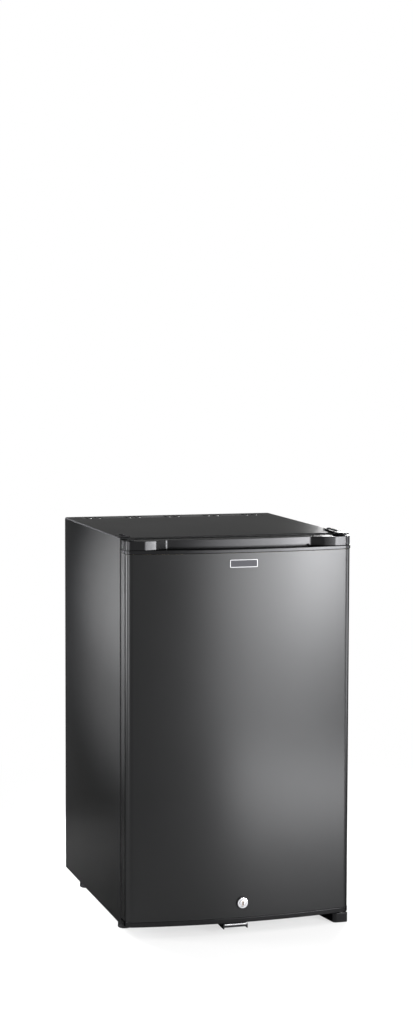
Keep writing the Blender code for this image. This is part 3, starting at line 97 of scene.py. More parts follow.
def finish(name, colour, roughness, metallic=0.0, specular=0.5, tone=0.12, mottle=9.0, grain=900.0, bump=0.05,
           depth=0.0002, stretch=(1, 1, 1), roughSpread=0.06, wear=0.0, wearColour=(0.3, 0.3, 0.3), dust=0.0,
           cells=0.0, tint=None, topShadeTint=None, edgeHighlight=0.0, edgeHighlightColour=(0.3, 0.3, 0.3), coat=0.0, clear=0.0, ior=1.5):
    # one worked surface: mottled colour, uneven gloss, fine grain, worn edges and a little dust, and where asked a
    # painted highlight on the top bends and painted shade on the tops
    material = bpy.data.materials.new(name)
    material.use_nodes = True
    tree = material.node_tree
    shader = tree.nodes["Principled BSDF"]
    shader.inputs["Metallic"].default_value = metallic
    shader.inputs["Specular IOR Level"].default_value = specular
    shader.inputs["IOR"].default_value = ior
    if tint is not None:
        shader.inputs["Specular Tint"].default_value = (tint, tint, tint, 1)
    if coat:
        shader.inputs["Coat Weight"].default_value = coat
        shader.inputs["Coat Roughness"].default_value = 0.12
    if clear:
        shader.inputs["Transmission Weight"].default_value = clear
    coords = tree.nodes.new("ShaderNodeTexCoord").outputs["Object"]
    cloud = noiseInto(tree, coords, mottle, 4.0, 0.6)
    fine = noiseInto(tree, coords, grain, 2.0, 0.5, stretch)
    dark = tuple(value * (1 - tone) for value in colour)
    light = tuple(min(value * (1 + tone), 1) for value in colour)
    shade = mixColours(tree, spread(tree, cloud.outputs["Fac"], 0, 1), dark, light)
    height = fine.outputs["Fac"]
    if cells:
        spangle = tree.nodes.new("ShaderNodeTexVoronoi")
        spangle.inputs["Scale"].default_value = cells
        tree.links.new(coords, spangle.inputs["Vector"])
        grey = tree.nodes.new("ShaderNodeSeparateColor")
        tree.links.new(spangle.outputs["Color"], grey.inputs["Color"])
        bright = tuple(min(value * 1.25, 1) for value in colour)
        shade = mixColours(tree, spread(tree, grey.outputs[0], 0.0, 0.55, 0.0, 1.0), shade, bright)
        height = grey.outputs[0]
    if wear:
        geometry = tree.nodes.new("ShaderNodeNewGeometry")
        edge = spread(tree, geometry.outputs["Pointiness"], 0, wear, 0.52, 0.58)
        shade = mixColours(tree, edge, shade, wearColour)
    if dust:
        geometry = tree.nodes.new("ShaderNodeNewGeometry")
        facing = tree.nodes.new("ShaderNodeSeparateXYZ")
        tree.links.new(geometry.outputs["Normal"], facing.inputs["Vector"])
        upward = spread(tree, facing.outputs["Z"], 0, dust, 0.5, 1.0)
        shade = mixColours(tree, upward, shade, (0.42, 0.40, 0.37))
    if topShadeTint is not None:
        # painted shade: faces that look straight up get a lower specular tint, so the tops reflect less at a low angle
        upright = tree.nodes.new("ShaderNodeSeparateXYZ")
        tree.links.new(tree.nodes["Texture Coordinate"].outputs["Normal"], upright.inputs["Vector"])
        level = spread(tree, upright.outputs["Z"], 0, 1, 0.9, 0.99)
        tree.links.new(mixColours(tree, level, (tint,) * 3, (topShadeTint,) * 3), shader.inputs["Specular Tint"])
    if edgeHighlight:
        # painted highlight: the long bends between the top and the sides are painted a little lighter, the front ones
        # are not
        away = tree.nodes.new("ShaderNodeVectorMath")
        away.operation = "ABSOLUTE"
        frontFirst = tree.nodes.new("ShaderNodeVectorMath")
        frontFirst.operation = "MULTIPLY"
        frontFirst.inputs[1].default_value = (1, 4, 1)
        parts = tree.nodes.new("ShaderNodeSeparateXYZ")
        largest = [tree.nodes.new("ShaderNodeMath"), tree.nodes.new("ShaderNodeMath")]
        for node in largest:
            node.operation = "MAXIMUM"
        linkUp(tree, [(tree.nodes["Texture Coordinate"].outputs["Normal"], away.inputs[0]),
                      (away.outputs["Vector"], frontFirst.inputs[0]), (frontFirst.outputs["Vector"], parts.inputs[0]),
                      (parts.outputs["X"], largest[0].inputs[0]), (parts.outputs["Y"], largest[0].inputs[1]),
                      (largest[0].outputs[0], largest[1].inputs[0]), (parts.outputs["Z"], largest[1].inputs[1])])
        shade = mixColours(tree, spread(tree, largest[1].outputs[0], edgeHighlight, 0, 0.88, 0.985), shade, edgeHighlightColour)
    relief = tree.nodes.new("ShaderNodeBump")
    relief.inputs["Strength"].default_value = bump
    relief.inputs["Distance"].default_value = depth
    gloss = spread(tree, cloud.outputs["Fac"], max(roughness - roughSpread, 0.02), roughness + roughSpread)
    linkUp(tree, [(shade, shader.inputs["Base Color"]), (gloss, shader.inputs["Roughness"]),
                  (height, relief.inputs["Height"]), (relief.outputs["Normal"], shader.inputs["Normal"])])
    return material


# topShadeTint paints shade onto upward faces by lowering their reflection
paintLook = dict(colour=(0.024, 0.0242, 0.0247), roughness=0.30, metallic=1.0, tint=0.33, topShadeTint=0.06, tone=0.03,
                 mottle=5.0, grain=1500.0, bump=0.05, roughSpread=0.006)
capLook = dict(colour=(0.018, 0.018, 0.0187), roughness=0.25, metallic=1.0, tint=0.30, topShadeTint=0.06, tone=0.08,
               grain=2600.0, bump=0.06, roughSpread=0.03)
satinPaint = finish("satinPaint", **paintLook)
# the shell's paint carries a painted highlight along its long top bends
shellPaintWithEdgeHighlight = finish("shellPaintWithEdgeHighlight", edgeHighlight=0.85, edgeHighlightColour=(0.24, 0.24, 0.25), **paintLook)
capPlastic = finish("capPlastic", **capLook)
blackPlastic = finish("blackPlastic", (0.022, 0.022, 0.023), 0.40, metallic=1.0, tint=0.35, grain=2200.0, bump=0.12)
linerPlastic = finish("linerPlastic", (0.72, 0.73, 0.72), 0.34, tone=0.03, mottle=4.0, grain=700.0, bump=0.03)
clearPlastic = finish("clearPlastic", (0.86, 0.92, 0.94), 0.09, clear=0.92, ior=1.49, tone=0.02, bump=0.02,
                      roughSpread=0.04)
lensPlastic = finish("lensPlastic", (0.92, 0.93, 0.9), 0.28, clear=0.6, ior=1.49, tone=0.03, grain=500.0, bump=0.2)
sealRubber = finish("sealRubber", (0.008, 0.008, 0.0085), 0.7, specular=0.15, tone=0.2, grain=1200.0, bump=0.2)
foamFill = finish("foamFill", (0.62, 0.52, 0.30), 0.9, tone=0.25, mottle=60.0, grain=350.0, bump=0.5)
brightZinc = finish("brightZinc", (0.62, 0.62, 0.60), 0.26, metallic=1.0, tone=0.12, mottle=60.0, grain=900.0,
                    stretch=(1, 12, 1), bump=0.1, roughSpread=0.08)
lockChrome = finish("lockChrome", (0.64, 0.64, 0.66), 0.2, metallic=1.0, tone=0.10, mottle=120.0, grain=1800.0,
                    bump=0.05, roughSpread=0.05)
keyBrass = finish("keyBrass", (0.16, 0.09, 0.04), 0.45, metallic=1.0, tone=0.25, mottle=300.0, bump=0.15)
spangleZinc = finish("spangleZinc", (0.46, 0.47, 0.48), 0.42, metallic=1.0, tone=0.12, cells=130.0, bump=0.02,
                     roughSpread=0.1, dust=0.1)
pipeEnamel = finish("pipeEnamel", (0.013, 0.013, 0.014), 0.38, tone=0.3, mottle=30.0, grain=400.0, bump=0.2,
                    wear=0.2, wearColour=(0.10, 0.07, 0.05), dust=0.15)
hingeEnamel = finish("hingeEnamel", (0.022, 0.022, 0.023), 0.36, metallic=1.0, tint=0.3, topShadeTint=0.05, tone=0.2,
                     mottle=40.0, grain=900.0, bump=0.1)
finMetal = finish("finMetal", (0.70, 0.71, 0.72), 0.38, metallic=1.0, tone=0.08, grain=1200.0, stretch=(1, 1, 20),
                  bump=0.1)
whiteWire = finish("whiteWire", (0.78, 0.78, 0.76), 0.28, tone=0.04, grain=600.0, bump=0.08, coat=0.3)
plateBlack = finish("plateBlack", (0.02, 0.02, 0.022), 0.35, metallic=1.0, tint=0.4, tone=0.1, bump=0.02)
plateRim = finish("plateRim", (0.30, 0.30, 0.31), 0.34, metallic=1.0, tone=0.08, mottle=200.0, bump=0.05)
screwZinc = finish("screwZinc", (0.55, 0.55, 0.54), 0.3, metallic=1.0, tone=0.2, mottle=400.0, bump=0.1)
weldSteel = finish("weldSteel", (0.10, 0.085, 0.075), 0.5, metallic=0.7, tone=0.4, mottle=150.0, grain=600.0,
                   bump=0.4)
printInk = finish("printInk", (0.10, 0.11, 0.13), 0.4, tone=0.1, bump=0.02)
print("stage: finishes made")


# shaping
def smoothBy(piece, angle=35):
    piece.data.shade_smooth()
    piece.data.set_sharp_from_angle(angle=math.radians(angle))
    return piece


def meshPiece(name, points, faces, material, angle=35):
    mesh = bpy.data.meshes.new(name)
    mesh.from_pydata([tuple(point) for point in points], [], faces)
    mesh.update()
    piece = bpy.data.objects.new(name, mesh)
    scene.collection.objects.link(piece)
    mesh.materials.append(material)
    return smoothBy(piece, angle)


def fromShape(name, shape, material, angle=35):
    mesh = bpy.data.meshes.new(name)
    bmesh.ops.recalc_face_normals(shape, faces=shape.faces)
    shape.to_mesh(mesh)
    shape.free()
    piece = bpy.data.objects.new(name, mesh)
    scene.collection.objects.link(piece)
    mesh.materials.append(material)
    return smoothBy(piece, angle)


def boxShape(low, high, edge=0.0, segments=3, along="XYZ"):
    low, high = Vector(low) * mm, Vector(high) * mm
    shape = bmesh.new()
    turn = Matrix.Translation((low + high) / 2) @ Matrix.Diagonal((*(high - low), 1))
    bmesh.ops.create_cube(shape, size=1, matrix=turn)
    if edge:
        chosen = []
        for one in shape.edges:
            run = (one.verts[1].co - one.verts[0].co).normalized()
            if "XYZ"[max(range(3), key=lambda index: abs(run[index]))] in along:
                chosen.append(one)
        bmesh.ops.bevel(shape, geom=chosen, offset=edge * mm, segments=segments, profile=0.5, affect="EDGES")
    return shape


def boxPiece(name, low, high, material, edge=0.6, segments=3, along="XYZ"):
    return fromShape(name, boxShape(low, high, edge, segments, along), material)


def slab(name, outlines, low, high, material, edge=0.4, steps=2, axis="Z", angle=35):
    # a flat outline with any holes after it, stood up with rounded rims
    if not isinstance(outlines[0][0], (tuple, Vector, list)):
        outlines = [outlines]
    curve = bpy.data.curves.new(name, "CURVE")
    curve.dimensions = "2D"
    curve.fill_mode = "BOTH"
    curve.extrude = ((high - low) / 2 - edge) * mm
    curve.bevel_depth = edge * mm
    curve.bevel_resolution = steps
    curve.offset = -edge * mm
    for outline in outlines:
        spline = curve.splines.new("POLY")
        spline.points.add(len(outline) - 1)
        spline.use_cyclic_u = True
        for point, place in zip(spline.points, outline):
            point.co = (place[0] * mm, place[1] * mm, 0, 1)
    guide = bpy.data.objects.new(name, curve)
    scene.collection.objects.link(guide)
    bpy.context.view_layer.update()
    mesh = bpy.data.meshes.new_from_object(guide.evaluated_get(bpy.context.evaluated_depsgraph_get()))
    bpy.data.objects.remove(guide)
    middle = (low + high) / 2 * mm
    if axis == "Z":
        turn = Matrix.Translation((0, 0, middle))
    elif axis == "Y":
        turn = Matrix.Translation((0, middle, 0)) @ Matrix.Rotation(math.pi / 2, 4, "X")
    else:
        turn = Matrix.Translation((middle, 0, 0)) @ Matrix(((0, 0, 1, 0), (1, 0, 0, 0), (0, 1, 0, 0), (0, 0, 0, 1)))
    mesh.transform(turn)
    shape = bmesh.new()
    shape.from_mesh(mesh)
    bpy.data.meshes.remove(mesh)
    bmesh.ops.remove_doubles(shape, verts=shape.verts, dist=0.002 * mm)
    return fromShape(name, shape, material, angle)


def lathe(name, profile, place, direction, material, steps=48, angle=35):
    # radius and height pairs, from the top axis point round to the bottom one
    turn = Vector(direction).to_track_quat("Z", "Y").to_matrix().to_4x4()
    turn = Matrix.Translation(Vector(place) * mm) @ turn
    shape = bmesh.new()
    rings = []
    for radius, height in profile:
        if radius < 1e-6:
            rings.append([shape.verts.new(turn @ Vector((0, 0, height * mm)))])
            continue
        ring = []
        for step in range(steps):
            turned = 2 * math.pi * step / steps
            ring.append(shape.verts.new(turn @ Vector((radius * math.cos(turned) * mm,
                                                       radius * math.sin(turned) * mm, height * mm))))
        rings.append(ring)
    pairs = list(zip(rings, rings[1:]))
    if profile[0][0] > 1e-6 and profile[-1][0] > 1e-6:
        pairs.append((rings[-1], rings[0]))
    for upper, lower in pairs:
        for step in range(steps):
            after = (step + 1) % steps
            if len(upper) == 1 and len(lower) > 1:
                shape.faces.new((upper[0], lower[step], lower[after]))
            elif len(lower) == 1 and len(upper) > 1:
                shape.faces.new((upper[after], upper[step], lower[0]))
            elif len(upper) > 1:
                shape.faces.new((upper[after], upper[step], lower[step], lower[after]))
    return fromShape(name, shape, material, angle)


def bentPath(corners, radius, steps=8):
    corners = [Vector(corner) for corner in corners]
    points = [corners[0]]
    for before, corner, after in zip(corners, corners[1:], corners[2:]):
        towards, away = (before - corner).normalized(), (after - corner).normalized()
        turn = math.pi - towards.angle(away)
        if turn < 0.02:
            points.append(corner)
            continue
        setback = radius * math.tan(turn / 2)
        centre = corner + (towards + away).normalized() * (radius / math.cos(turn / 2))
        start = corner + towards * setback - centre
        axis = start.cross(corner + away * setback - centre).normalized()
        for step in range(steps + 1):
            points.append(centre + Matrix.Rotation(turn * step / steps, 3, axis) @ start)
    points.append(corners[-1])
    return points


def pipeShape(points, radius, sides=16, closed=False, shape=None):
    # sweeps a round section without twist, capping open ends
    shape = shape or bmesh.new()
    points = [Vector(point) * mm for point in points]
    count = len(points)
    up = None
    rings = []
    for index, point in enumerate(points):
        before = points[index - 1] if index or closed else point
        after = points[(index + 1) % count] if index < count - 1 or closed else point
        tangent = (after - before).normalized()
        if up is None:
            up = tangent.orthogonal().normalized()
        up = (up - tangent * up.dot(tangent)).normalized()
        side = tangent.cross(up)
        ring = []
        for step in range(sides):
            turned = 2 * math.pi * step / sides
            ring.append(shape.verts.new(point + (up * math.cos(turned) + side * math.sin(turned)) * radius * mm))
        rings.append(ring)
    pairs = list(zip(rings, rings[1:]))
    if closed:
        # match the first ring to the last one, whichever way it has turned
        last, first = rings[-1], rings[0]
        shift = min(range(sides), key=lambda k: sum((last[i].co - first[(i + k) % sides].co).length
                                                     for i in range(0, sides, 4)))
        pairs.append((last, [first[(i + shift) % sides] for i in range(sides)]))
    for first, second in pairs:
        for step in range(sides):
            after = (step + 1) % sides
            shape.faces.new((first[step], first[after], second[after], second[step]))
    if not closed:
        shape.faces.new(list(reversed(rings[0])))
        shape.faces.new(rings[-1])
    return shape


def pipePiece(name, points, radius, material, sides=16, closed=False):
    return fromShape(name, pipeShape(points, radius, sides, closed), material, 50)


def bakeDown(piece, angle=35):
    bpy.context.view_layer.update()
    old = piece.data
    piece.data = bpy.data.meshes.new_from_object(piece.evaluated_get(bpy.context.evaluated_depsgraph_get()))
    piece.modifiers.clear()
    bpy.data.meshes.remove(old)
    return smoothBy(piece, angle)


def carve(piece, cutters, operation="DIFFERENCE", angle=35):
    for cutter in cutters:
        modifier = piece.modifiers.new("carve", "BOOLEAN")
        modifier.operation = operation
        modifier.object = cutter
        modifier.solver = "EXACT"
    bakeDown(piece, angle)
    for cutter in cutters:
        bpy.data.objects.remove(cutter)
    return piece


def softEdges(piece, width, segments=3, angle=40):
    modifier = piece.modifiers.new("soft", "BEVEL")
    modifier.width = width * mm
    modifier.segments = segments
    modifier.limit_method = "ANGLE"
    modifier.angle_limit = math.radians(angle)
    return bakeDown(piece)


def gather(name, pieces):
    # several loose bits of one kind become one named piece
    shape = bmesh.new()
    material = pieces[0].data.materials[0]
    for piece in pieces:
        piece.data.transform(piece.matrix_world)
        shape.from_mesh(piece.data)
    for piece in pieces:
        bpy.data.objects.remove(piece)
    return fromShape(name, shape, material)


def fit(piece, body, slotName, *nodes):
    piece.modifiers.new("flatFacesFlat", "WEIGHTED_NORMAL").keep_sharp = True
    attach(piece, body)
    if nodes:
        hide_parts(*nodes)
    return piece


def screwHead(name, place, direction, radius=3.4, rise=1.5, material=None, turn=0.4):
    # pan head with a cross recess
    x, y, z = place
    profile = [(0, rise)]
    for step in range(1, 6):
        angle = math.pi / 2 * step / 5
        profile.append((radius * math.sin(angle), rise * (0.25 + 0.75 * math.cos(angle))))
    profile += [(radius, 0), (0, 0)]
    head = lathe(name, profile, place, direction, material or screwZinc, 24)
    aim = Vector(direction).to_track_quat("Z", "Y").to_matrix().to_4x4()
    cutters = []
    for number in range(2):
        shape = boxShape((-radius * 0.62, -radius * 0.13, rise * 0.4), (radius * 0.62, radius * 0.13, rise * 2))
        bar = fromShape("bar", shape, screwZinc)
        bar.data.transform(Matrix.Translation(Vector(place) * mm) @ aim
                           @ Matrix.Rotation(turn + math.pi / 2 * number, 4, "Z"))
        cutters.append(bar)
    return carve(head, cutters)


# plan of the door
cornerX = cabinet["half"] - door["corner"]
cornerY = door["rearY"] - door["sideFlat"]
toFront = cornerY - door["frontY"]
bowRadius = (cornerX ** 2 + toFront ** 2 - door["corner"] ** 2) / (2 * (toFront - door["corner"]))
bowCentreY = door["frontY"] + bowRadius
bowAngle = math.asin(cornerX / (bowRadius - door["corner"]))


def bowY(x, inset=0.0):
    return bowCentreY - math.sqrt((bowRadius - inset) ** 2 - x ** 2)


def bowStretch(fromX, toX, inset, steps=30):
    places = [fromX + (toX - fromX) * step / steps for step in range(steps + 1)]
    return [(x, bowY(x, inset)) for x in places]


def doorPath(inset=0.0, rearY=None, cornerSteps=14, bowSteps=44):
    rearY = door["rearY"] if rearY is None else rearY
    radius = door["corner"] - inset
    left = [(-cabinet["half"] + inset, rearY)]
    for step in range(cornerSteps + 1):
        angle = math.pi + (math.pi / 2 - bowAngle) * step / cornerSteps
        left.append((-cornerX + radius * math.cos(angle), cornerY + radius * math.sin(angle)))
    front = []
    for step in range(1, bowSteps):
        angle = bowAngle * (2 * step / bowSteps - 1)
        front.append(((bowRadius - inset) * math.sin(angle), bowCentreY - (bowRadius - inset) * math.cos(angle)))
    return left + front + [(-x, y) for x, y in reversed(left)]


# cabinet
shell = dict(bendRadius=1.6, slotEdge=0.5)


def makeCabinetShell():
    half, front, back = cabinet["half"], cabinet["frontY"], cabinet["backY"]
    base, top, sheet = cabinet["baseZ"], cabinet["topZ"], cabinet["sheet"]
    shape = boxShape((-half, front, base - 20), (half, back, top), cabinet["corner"], 6, "Y")
    rims = [edge for edge in shape.edges if all(abs(vertex.co.y - front * mm) < 1e-6 for vertex in edge.verts)]
    bmesh.ops.bevel(shape, geom=rims, offset=shell["bendRadius"] * mm, segments=4, profile=0.5, affect="EDGES")
    outer = fromShape("cabinetShell", shape, shellPaintWithEdgeHighlight)
    below = boxPiece("below", (-half - 5, front - 5, base - 30), (half + 5, back + 5, base), satinPaint, 0)
    inside = boxPiece("inside", (-half + sheet, front + sheet, base - 25), (half - sheet, back - sheet, top - sheet),
                      satinPaint, cabinet["corner"] - sheet, 6, "Y")
    windowHalf = half - cabinet["frontFold"]
    window = boxPiece("window", (-windowHalf, front - 5, base - 5), (windowHalf, front + 10, top - cabinet["topFold"]),
                      satinPaint, 0)
    rearHalf = half - cabinet["rearFold"]
    rear = boxPiece("rear", (-rearHalf, back - 10, base - 5), (rearHalf, back + 5, top - cabinet["rearFold"]),
                    satinPaint, 0)
    ventHalf = half - 26
    vent = boxPiece("vent", (-ventHalf, back - 47, top - 5), (ventHalf, back - 9, top + 5), satinPaint, 0)
    carve(outer, [below, inside, window, rear, vent])
    return fit(outer, "cabinet", "painted_steel", "cabinet_wrap")


makeCabinetShell()

vent = dict(groups=5, slots=4, groupPitch=76.5, slotPitch=9.0, slotWidth=4.0, slotLength=28.0, clipRadius=1.5)


def makeVentStrip():
    back, top = cabinet["backY"], cabinet["topZ"]
    half = cabinet["half"] - 26.3
    strip = boxPiece("ventStrip", (-half, back - 46.7, top - 2.6), (half, back - 9.3, top), capPlastic, 0.5, 2)
    rim = boxPiece("ventRim", (-half - 3.7, back - 51, top - 2.5), (half + 3.7, back - 5, top - 1.1), capPlastic, 0)
    carve(strip, [rim], "UNION")
    slots = []
    middle = back - 28
    clips = []
    for group in range(vent["groups"]):
        groupX = (group - (vent["groups"] - 1) / 2) * vent["groupPitch"]
        for slot in range(vent["slots"]):
            x = groupX + (slot - (vent["slots"] - 1) / 2) * vent["slotPitch"]
            slots.append(boxPiece("slot", (x - vent["slotWidth"] / 2, middle - vent["slotLength"] / 2, top - 9),
                                  (x + vent["slotWidth"] / 2, middle + vent["slotLength"] / 2, top + 5),
                                  capPlastic, 1.9, 4, "Z"))
        for side in (-1, 1):
            x = groupX + side * vent["slotPitch"]
            dome = [(0, 0.7), (0.8, 0.6), (1.2, 0.35), (vent["clipRadius"], 0), (vent["clipRadius"], -0.4), (0, -0.4)]
            clips.append(lathe("clip", dome, (x, middle - 16.6, top), (0, 0, 1), screwZinc, 20))
    softEdges(carve(strip, slots), 0.2, 2)
    fit(strip, "cabinet", "charcoal_plastic", "rear_vent_strip")
    fit(gather("ventClips", clips), "cabinet", "bright_steel")


makeVentStrip()

foot = dict(waist=11.5, ribs=20)


def makeFeet():
    for node in ("foot_front_left", "foot_rear_left", "foot_rear_right"):
        low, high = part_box(node)
        x, y = (low.x + high.x) / 2 / mm, (low.y + high.y) / 2 / mm
        profile = [(0, 15.7), (10.6, 15.7), (11.2, 15.3), (foot["waist"], 14.6), (foot["waist"], 4.4), (11.8, 4.0),
                   (11.9, 3.4), (11.9, 1.2), (11.5, 0.5), (10.8, 0.0), (6.5, 0.0), (6.0, 0.8), (0, 0.8)]
        piece = lathe("foot" + "".join(word.capitalize() for word in node.split("_")[1:]), profile, (x, y, 0),
                      (0, 0, 1), blackPlastic, 60)
        for vertex in piece.data.vertices:  # shallow ribs round the waist, for turning by hand
            flat = Vector((vertex.co.x - x * mm, vertex.co.y - y * mm))
            if 4.2 * mm < vertex.co.z < 15 * mm and flat.length > 11.3 * mm:
                wave = 1 + 0.018 * math.cos(foot["ribs"] * math.atan2(flat.y, flat.x))
                vertex.co.x = x * mm + flat.x * wave
                vertex.co.y = y * mm + flat.y * wave
        fit(piece, "cabinet", "black_plastic", node)


makeFeet()
print("stage: cabinet outside")

# hinges, foot block and catch
footBlock = dict(width=26.6, corner=7.0, flare=7.0, flareBack=15.0, front=40.0, back=52.0, edge=1.0)


def makeFootBlock():
    half, front = cabinet["half"], cabinet["frontY"]
    left, right = half - footBlock["width"], half
    points = [(left - footBlock["flare"], front + footBlock["flareBack"])]
    for step in range(9):
        angle = math.pi / 2 * step / 8
        points.append((left + footBlock["corner"] * (1 - math.cos(angle)),
                       front - footBlock["front"] + footBlock["corner"] * (1 - math.sin(angle))))
    for step in range(5):
        angle = math.pi / 2 * step / 4
        points.append((right - 3 + 3 * math.sin(angle), front - footBlock["front"] + 3 * (1 - math.cos(angle))))
    points += [(right, front + footBlock["back"]), (left - footBlock["flare"], front + footBlock["back"])]
    block = slab("hingeFootBlock", points, 0, 17, capPlastic, footBlock["edge"], 3)
    under = boxPiece("under", (0, front - 0.3, 15.7), (half + 5, cabinet["backY"], 25), capPlastic, 0)
    seatHalf = 7.7
    seatPoints = []
    for step in range(17):
        angle = math.pi + math.pi * step / 16
        seatPoints.append((door["pivotX"] + seatHalf * math.cos(angle), door["pivotY"] + seatHalf * math.sin(angle)))
    seatPoints += [(door["pivotX"] + seatHalf, front + 49.3), (door["pivotX"] - seatHalf, front + 49.3)]
    seat = slab("seat", seatPoints, 12.9, 25, capPlastic, 0.05)
    carve(block, [under, seat])
    fit(block, "cabinet", "charcoal_plastic", "hinge_foot_block")


makeFootBlock()

hinge = dict(armRadius=10.0, plateHalf=9.0, plateBack=56.0, stepBack=22.0, step=3.0, thickness=2.5, edge=0.5)


def armOutline(radius, rearPoints, steps=18):
    points = []
    for step in range(steps + 1):
        angle = math.pi + math.pi * step / steps
        points.append((door["pivotX"] + radius * math.cos(angle), door["pivotY"] + radius * math.sin(angle)))
    return points + rearPoints


def ringPoints(x, y, radius, sides=24):
    return [(x + radius * math.cos(2 * math.pi * step / sides), y + radius * math.sin(2 * math.pi * step / sides))
            for step in range(sides)]


def makeHinges():
    front, top = cabinet["frontY"], cabinet["topZ"]
    right, left = door["pivotX"] + hinge["plateHalf"], door["pivotX"] - hinge["plateHalf"]
    rear = front + hinge["plateBack"]
    points = [(right, front), (right, rear), (left + hinge["step"], rear),
              (left + hinge["step"], front + hinge["stepBack"] + hinge["step"]),
              (left, front + hinge["stepBack"]), (left, front)]
    low = top + 0.3
    plate = slab("upperHingePlate", [armOutline(hinge["armRadius"], points),
                                     ringPoints(door["pivotX"], door["pivotY"], 3.3)],
                 low, low + hinge["thickness"], hingeEnamel, hinge["edge"])
    fit(plate, "cabinet", "black_steel", "upper_hinge_plate")
    head = low + hinge["thickness"] + 0.3
    tip = door["capHigh"] - 8 + 1
    profile = [(0, 1.2), (4.6, 1.2), (5.2, 0.9), (5.5, 0.5), (5.5, 0), (3, 0), (3, tip - head + 0.7), (2.4, tip - head),
               (0, tip - head)]
    fit(lathe("upperHingePin", profile, (door["pivotX"], door["pivotY"], head), (0, 0, 1), brightZinc, 36),
        "cabinet", "bright_steel", "upper_hinge_pin")
    screws = []
    for back in (9, 27, 47):
        screws.append(screwHead("hingeScrew", (door["pivotX"] + (1.5 if back > 22 else 0), front + back,
                                               low + hinge["thickness"]), (0, 0, 1), 4.0, 1.7, hingeEnamel, 0.3 + back))
    fit(gather("upperHingeScrews", screws), "cabinet", "black_steel")
    plateTop = cabinet["baseZ"] - 0.3
    plateLow = plateTop - hinge["thickness"]
    rear = front + 49
    lower = slab("lowerHingePlate", armOutline(7.4, [(door["pivotX"] + 7.4, rear), (door["pivotX"] - 7.4, rear)]),
                 plateLow, plateTop, brightZinc, 0.4)
    fit(lower, "cabinet", "bright_steel", "lower_hinge_plate")
    pinTop = door["bottomZ"] - plateTop + 7
    profile = [(0, pinTop), (1.6, pinTop), (2.5, pinTop - 0.5), (3, pinTop - 1.3), (3, 1.2), (5.2, 1.2), (5.5, 0.9),
               (5.5, 0), (0, 0)]
    fit(lathe("lowerHingePin", profile, (door["pivotX"], door["pivotY"], plateTop + 0.3), (0, 0, 1), brightZinc, 36),
        "cabinet", "bright_steel", "lower_hinge_pin")


makeHinges()

holeCover = dict(length=34.0, width=20.0, thickness=1.4, front=10.0, domeRadius=4.2, domeHeight=1.6, spacing=16.0)


def makeHoleCover():
    x, front, top = -door["pivotX"], cabinet["frontY"], cabinet["topZ"]
    low = (x - holeCover["width"] / 2, front + holeCover["front"], top + 0.3)
    high = (x + holeCover["width"] / 2, front + holeCover["front"] + holeCover["length"], top + 1.7)
    shape = boxShape(low, high, 4.0, 6, "Z")
    rims = [edge for edge in shape.edges if all(abs(vertex.co.z - high[2] * mm) < 1e-7 for vertex in edge.verts)]
    bmesh.ops.bevel(shape, geom=rims, offset=0.6 * mm, segments=3, profile=0.5, affect="EDGES")
    cover = fromShape("hingeHoleCover", shape, blackPlastic)
    domes = []
    for side in (-1, 1):
        y = (low[1] + high[1]) / 2 + side * holeCover["spacing"] / 2
        profile = [(0, holeCover["domeHeight"])]
        for step in range(1, 7):
            angle = math.pi / 2 * step / 6
            profile.append((holeCover["domeRadius"] * math.sin(angle), holeCover["domeHeight"] * math.cos(angle)))
        profile += [(holeCover["domeRadius"], -0.6), (0, -0.6)]
        domes.append(lathe("dome", profile, (x, y, high[2]), (0, 0, 1), blackPlastic, 32))
    fit(carve(cover, domes, "UNION"), "cabinet", "black_plastic", "hinge_hole_cover")


makeHoleCover()

catch = dict(centre=-9.0, width=44.0, sheet=1.8, drop=8.5, front=54.0, back=48.0, lip=5.8, rearHeight=4.8, cheek=12.0)


def makeCatch():
    left, right = catch["centre"] - catch["width"] / 2, catch["centre"] + catch["width"] / 2
    front, rear = cabinet["frontY"] - catch["front"], cabinet["frontY"] + catch["back"]
    top = cabinet["baseZ"] - 0.3
    bracket = boxPiece("catchBracket", (left, front, top - catch["drop"]), (right, rear, top), hingeEnamel, 0)
    inside = boxPiece("inside", (left + catch["sheet"], front + catch["sheet"], top - 20),
                      (right - catch["sheet"], rear + 5, top - catch["sheet"]), pipeEnamel, 0)
    lip = boxPiece("lip", (left + catch["sheet"], front - 5, top - 20), (right - catch["sheet"], front + 10,
                                                                          top - catch["lip"]), pipeEnamel, 0)
    slopeStart = front + catch["cheek"]
    slopeOutline = [(slopeStart, top - catch["drop"] - 0.3), (rear + 5, top - catch["rearHeight"]),
                    (rear + 5, top - 25), (slopeStart, top - 25)]
    slope = slab("slope", slopeOutline, left - 5, right + 5, pipeEnamel, 0.01, 0, "X")
    slotBox = boxPiece("slotBox", (-38.2, -220.9, top - 5), (7.0, -216.4 + 0.5, top + 5), pipeEnamel, 0)
    carve(bracket, [inside, lip, slope, slotBox])
    softEdges(bracket, 0.35, 2)
    fit(bracket, "cabinet", "black_steel", "lock_catch_bracket")
    strip = boxPiece("catchStrip", (left + 2.2, front - 0.35, top - 1.9), (right - 2.2, front + 0.1, top + 0.05),
                     lockChrome, 0.12, 2)
    fit(strip, "cabinet", "chrome")


makeCatch()
print("stage: hinges and catch")

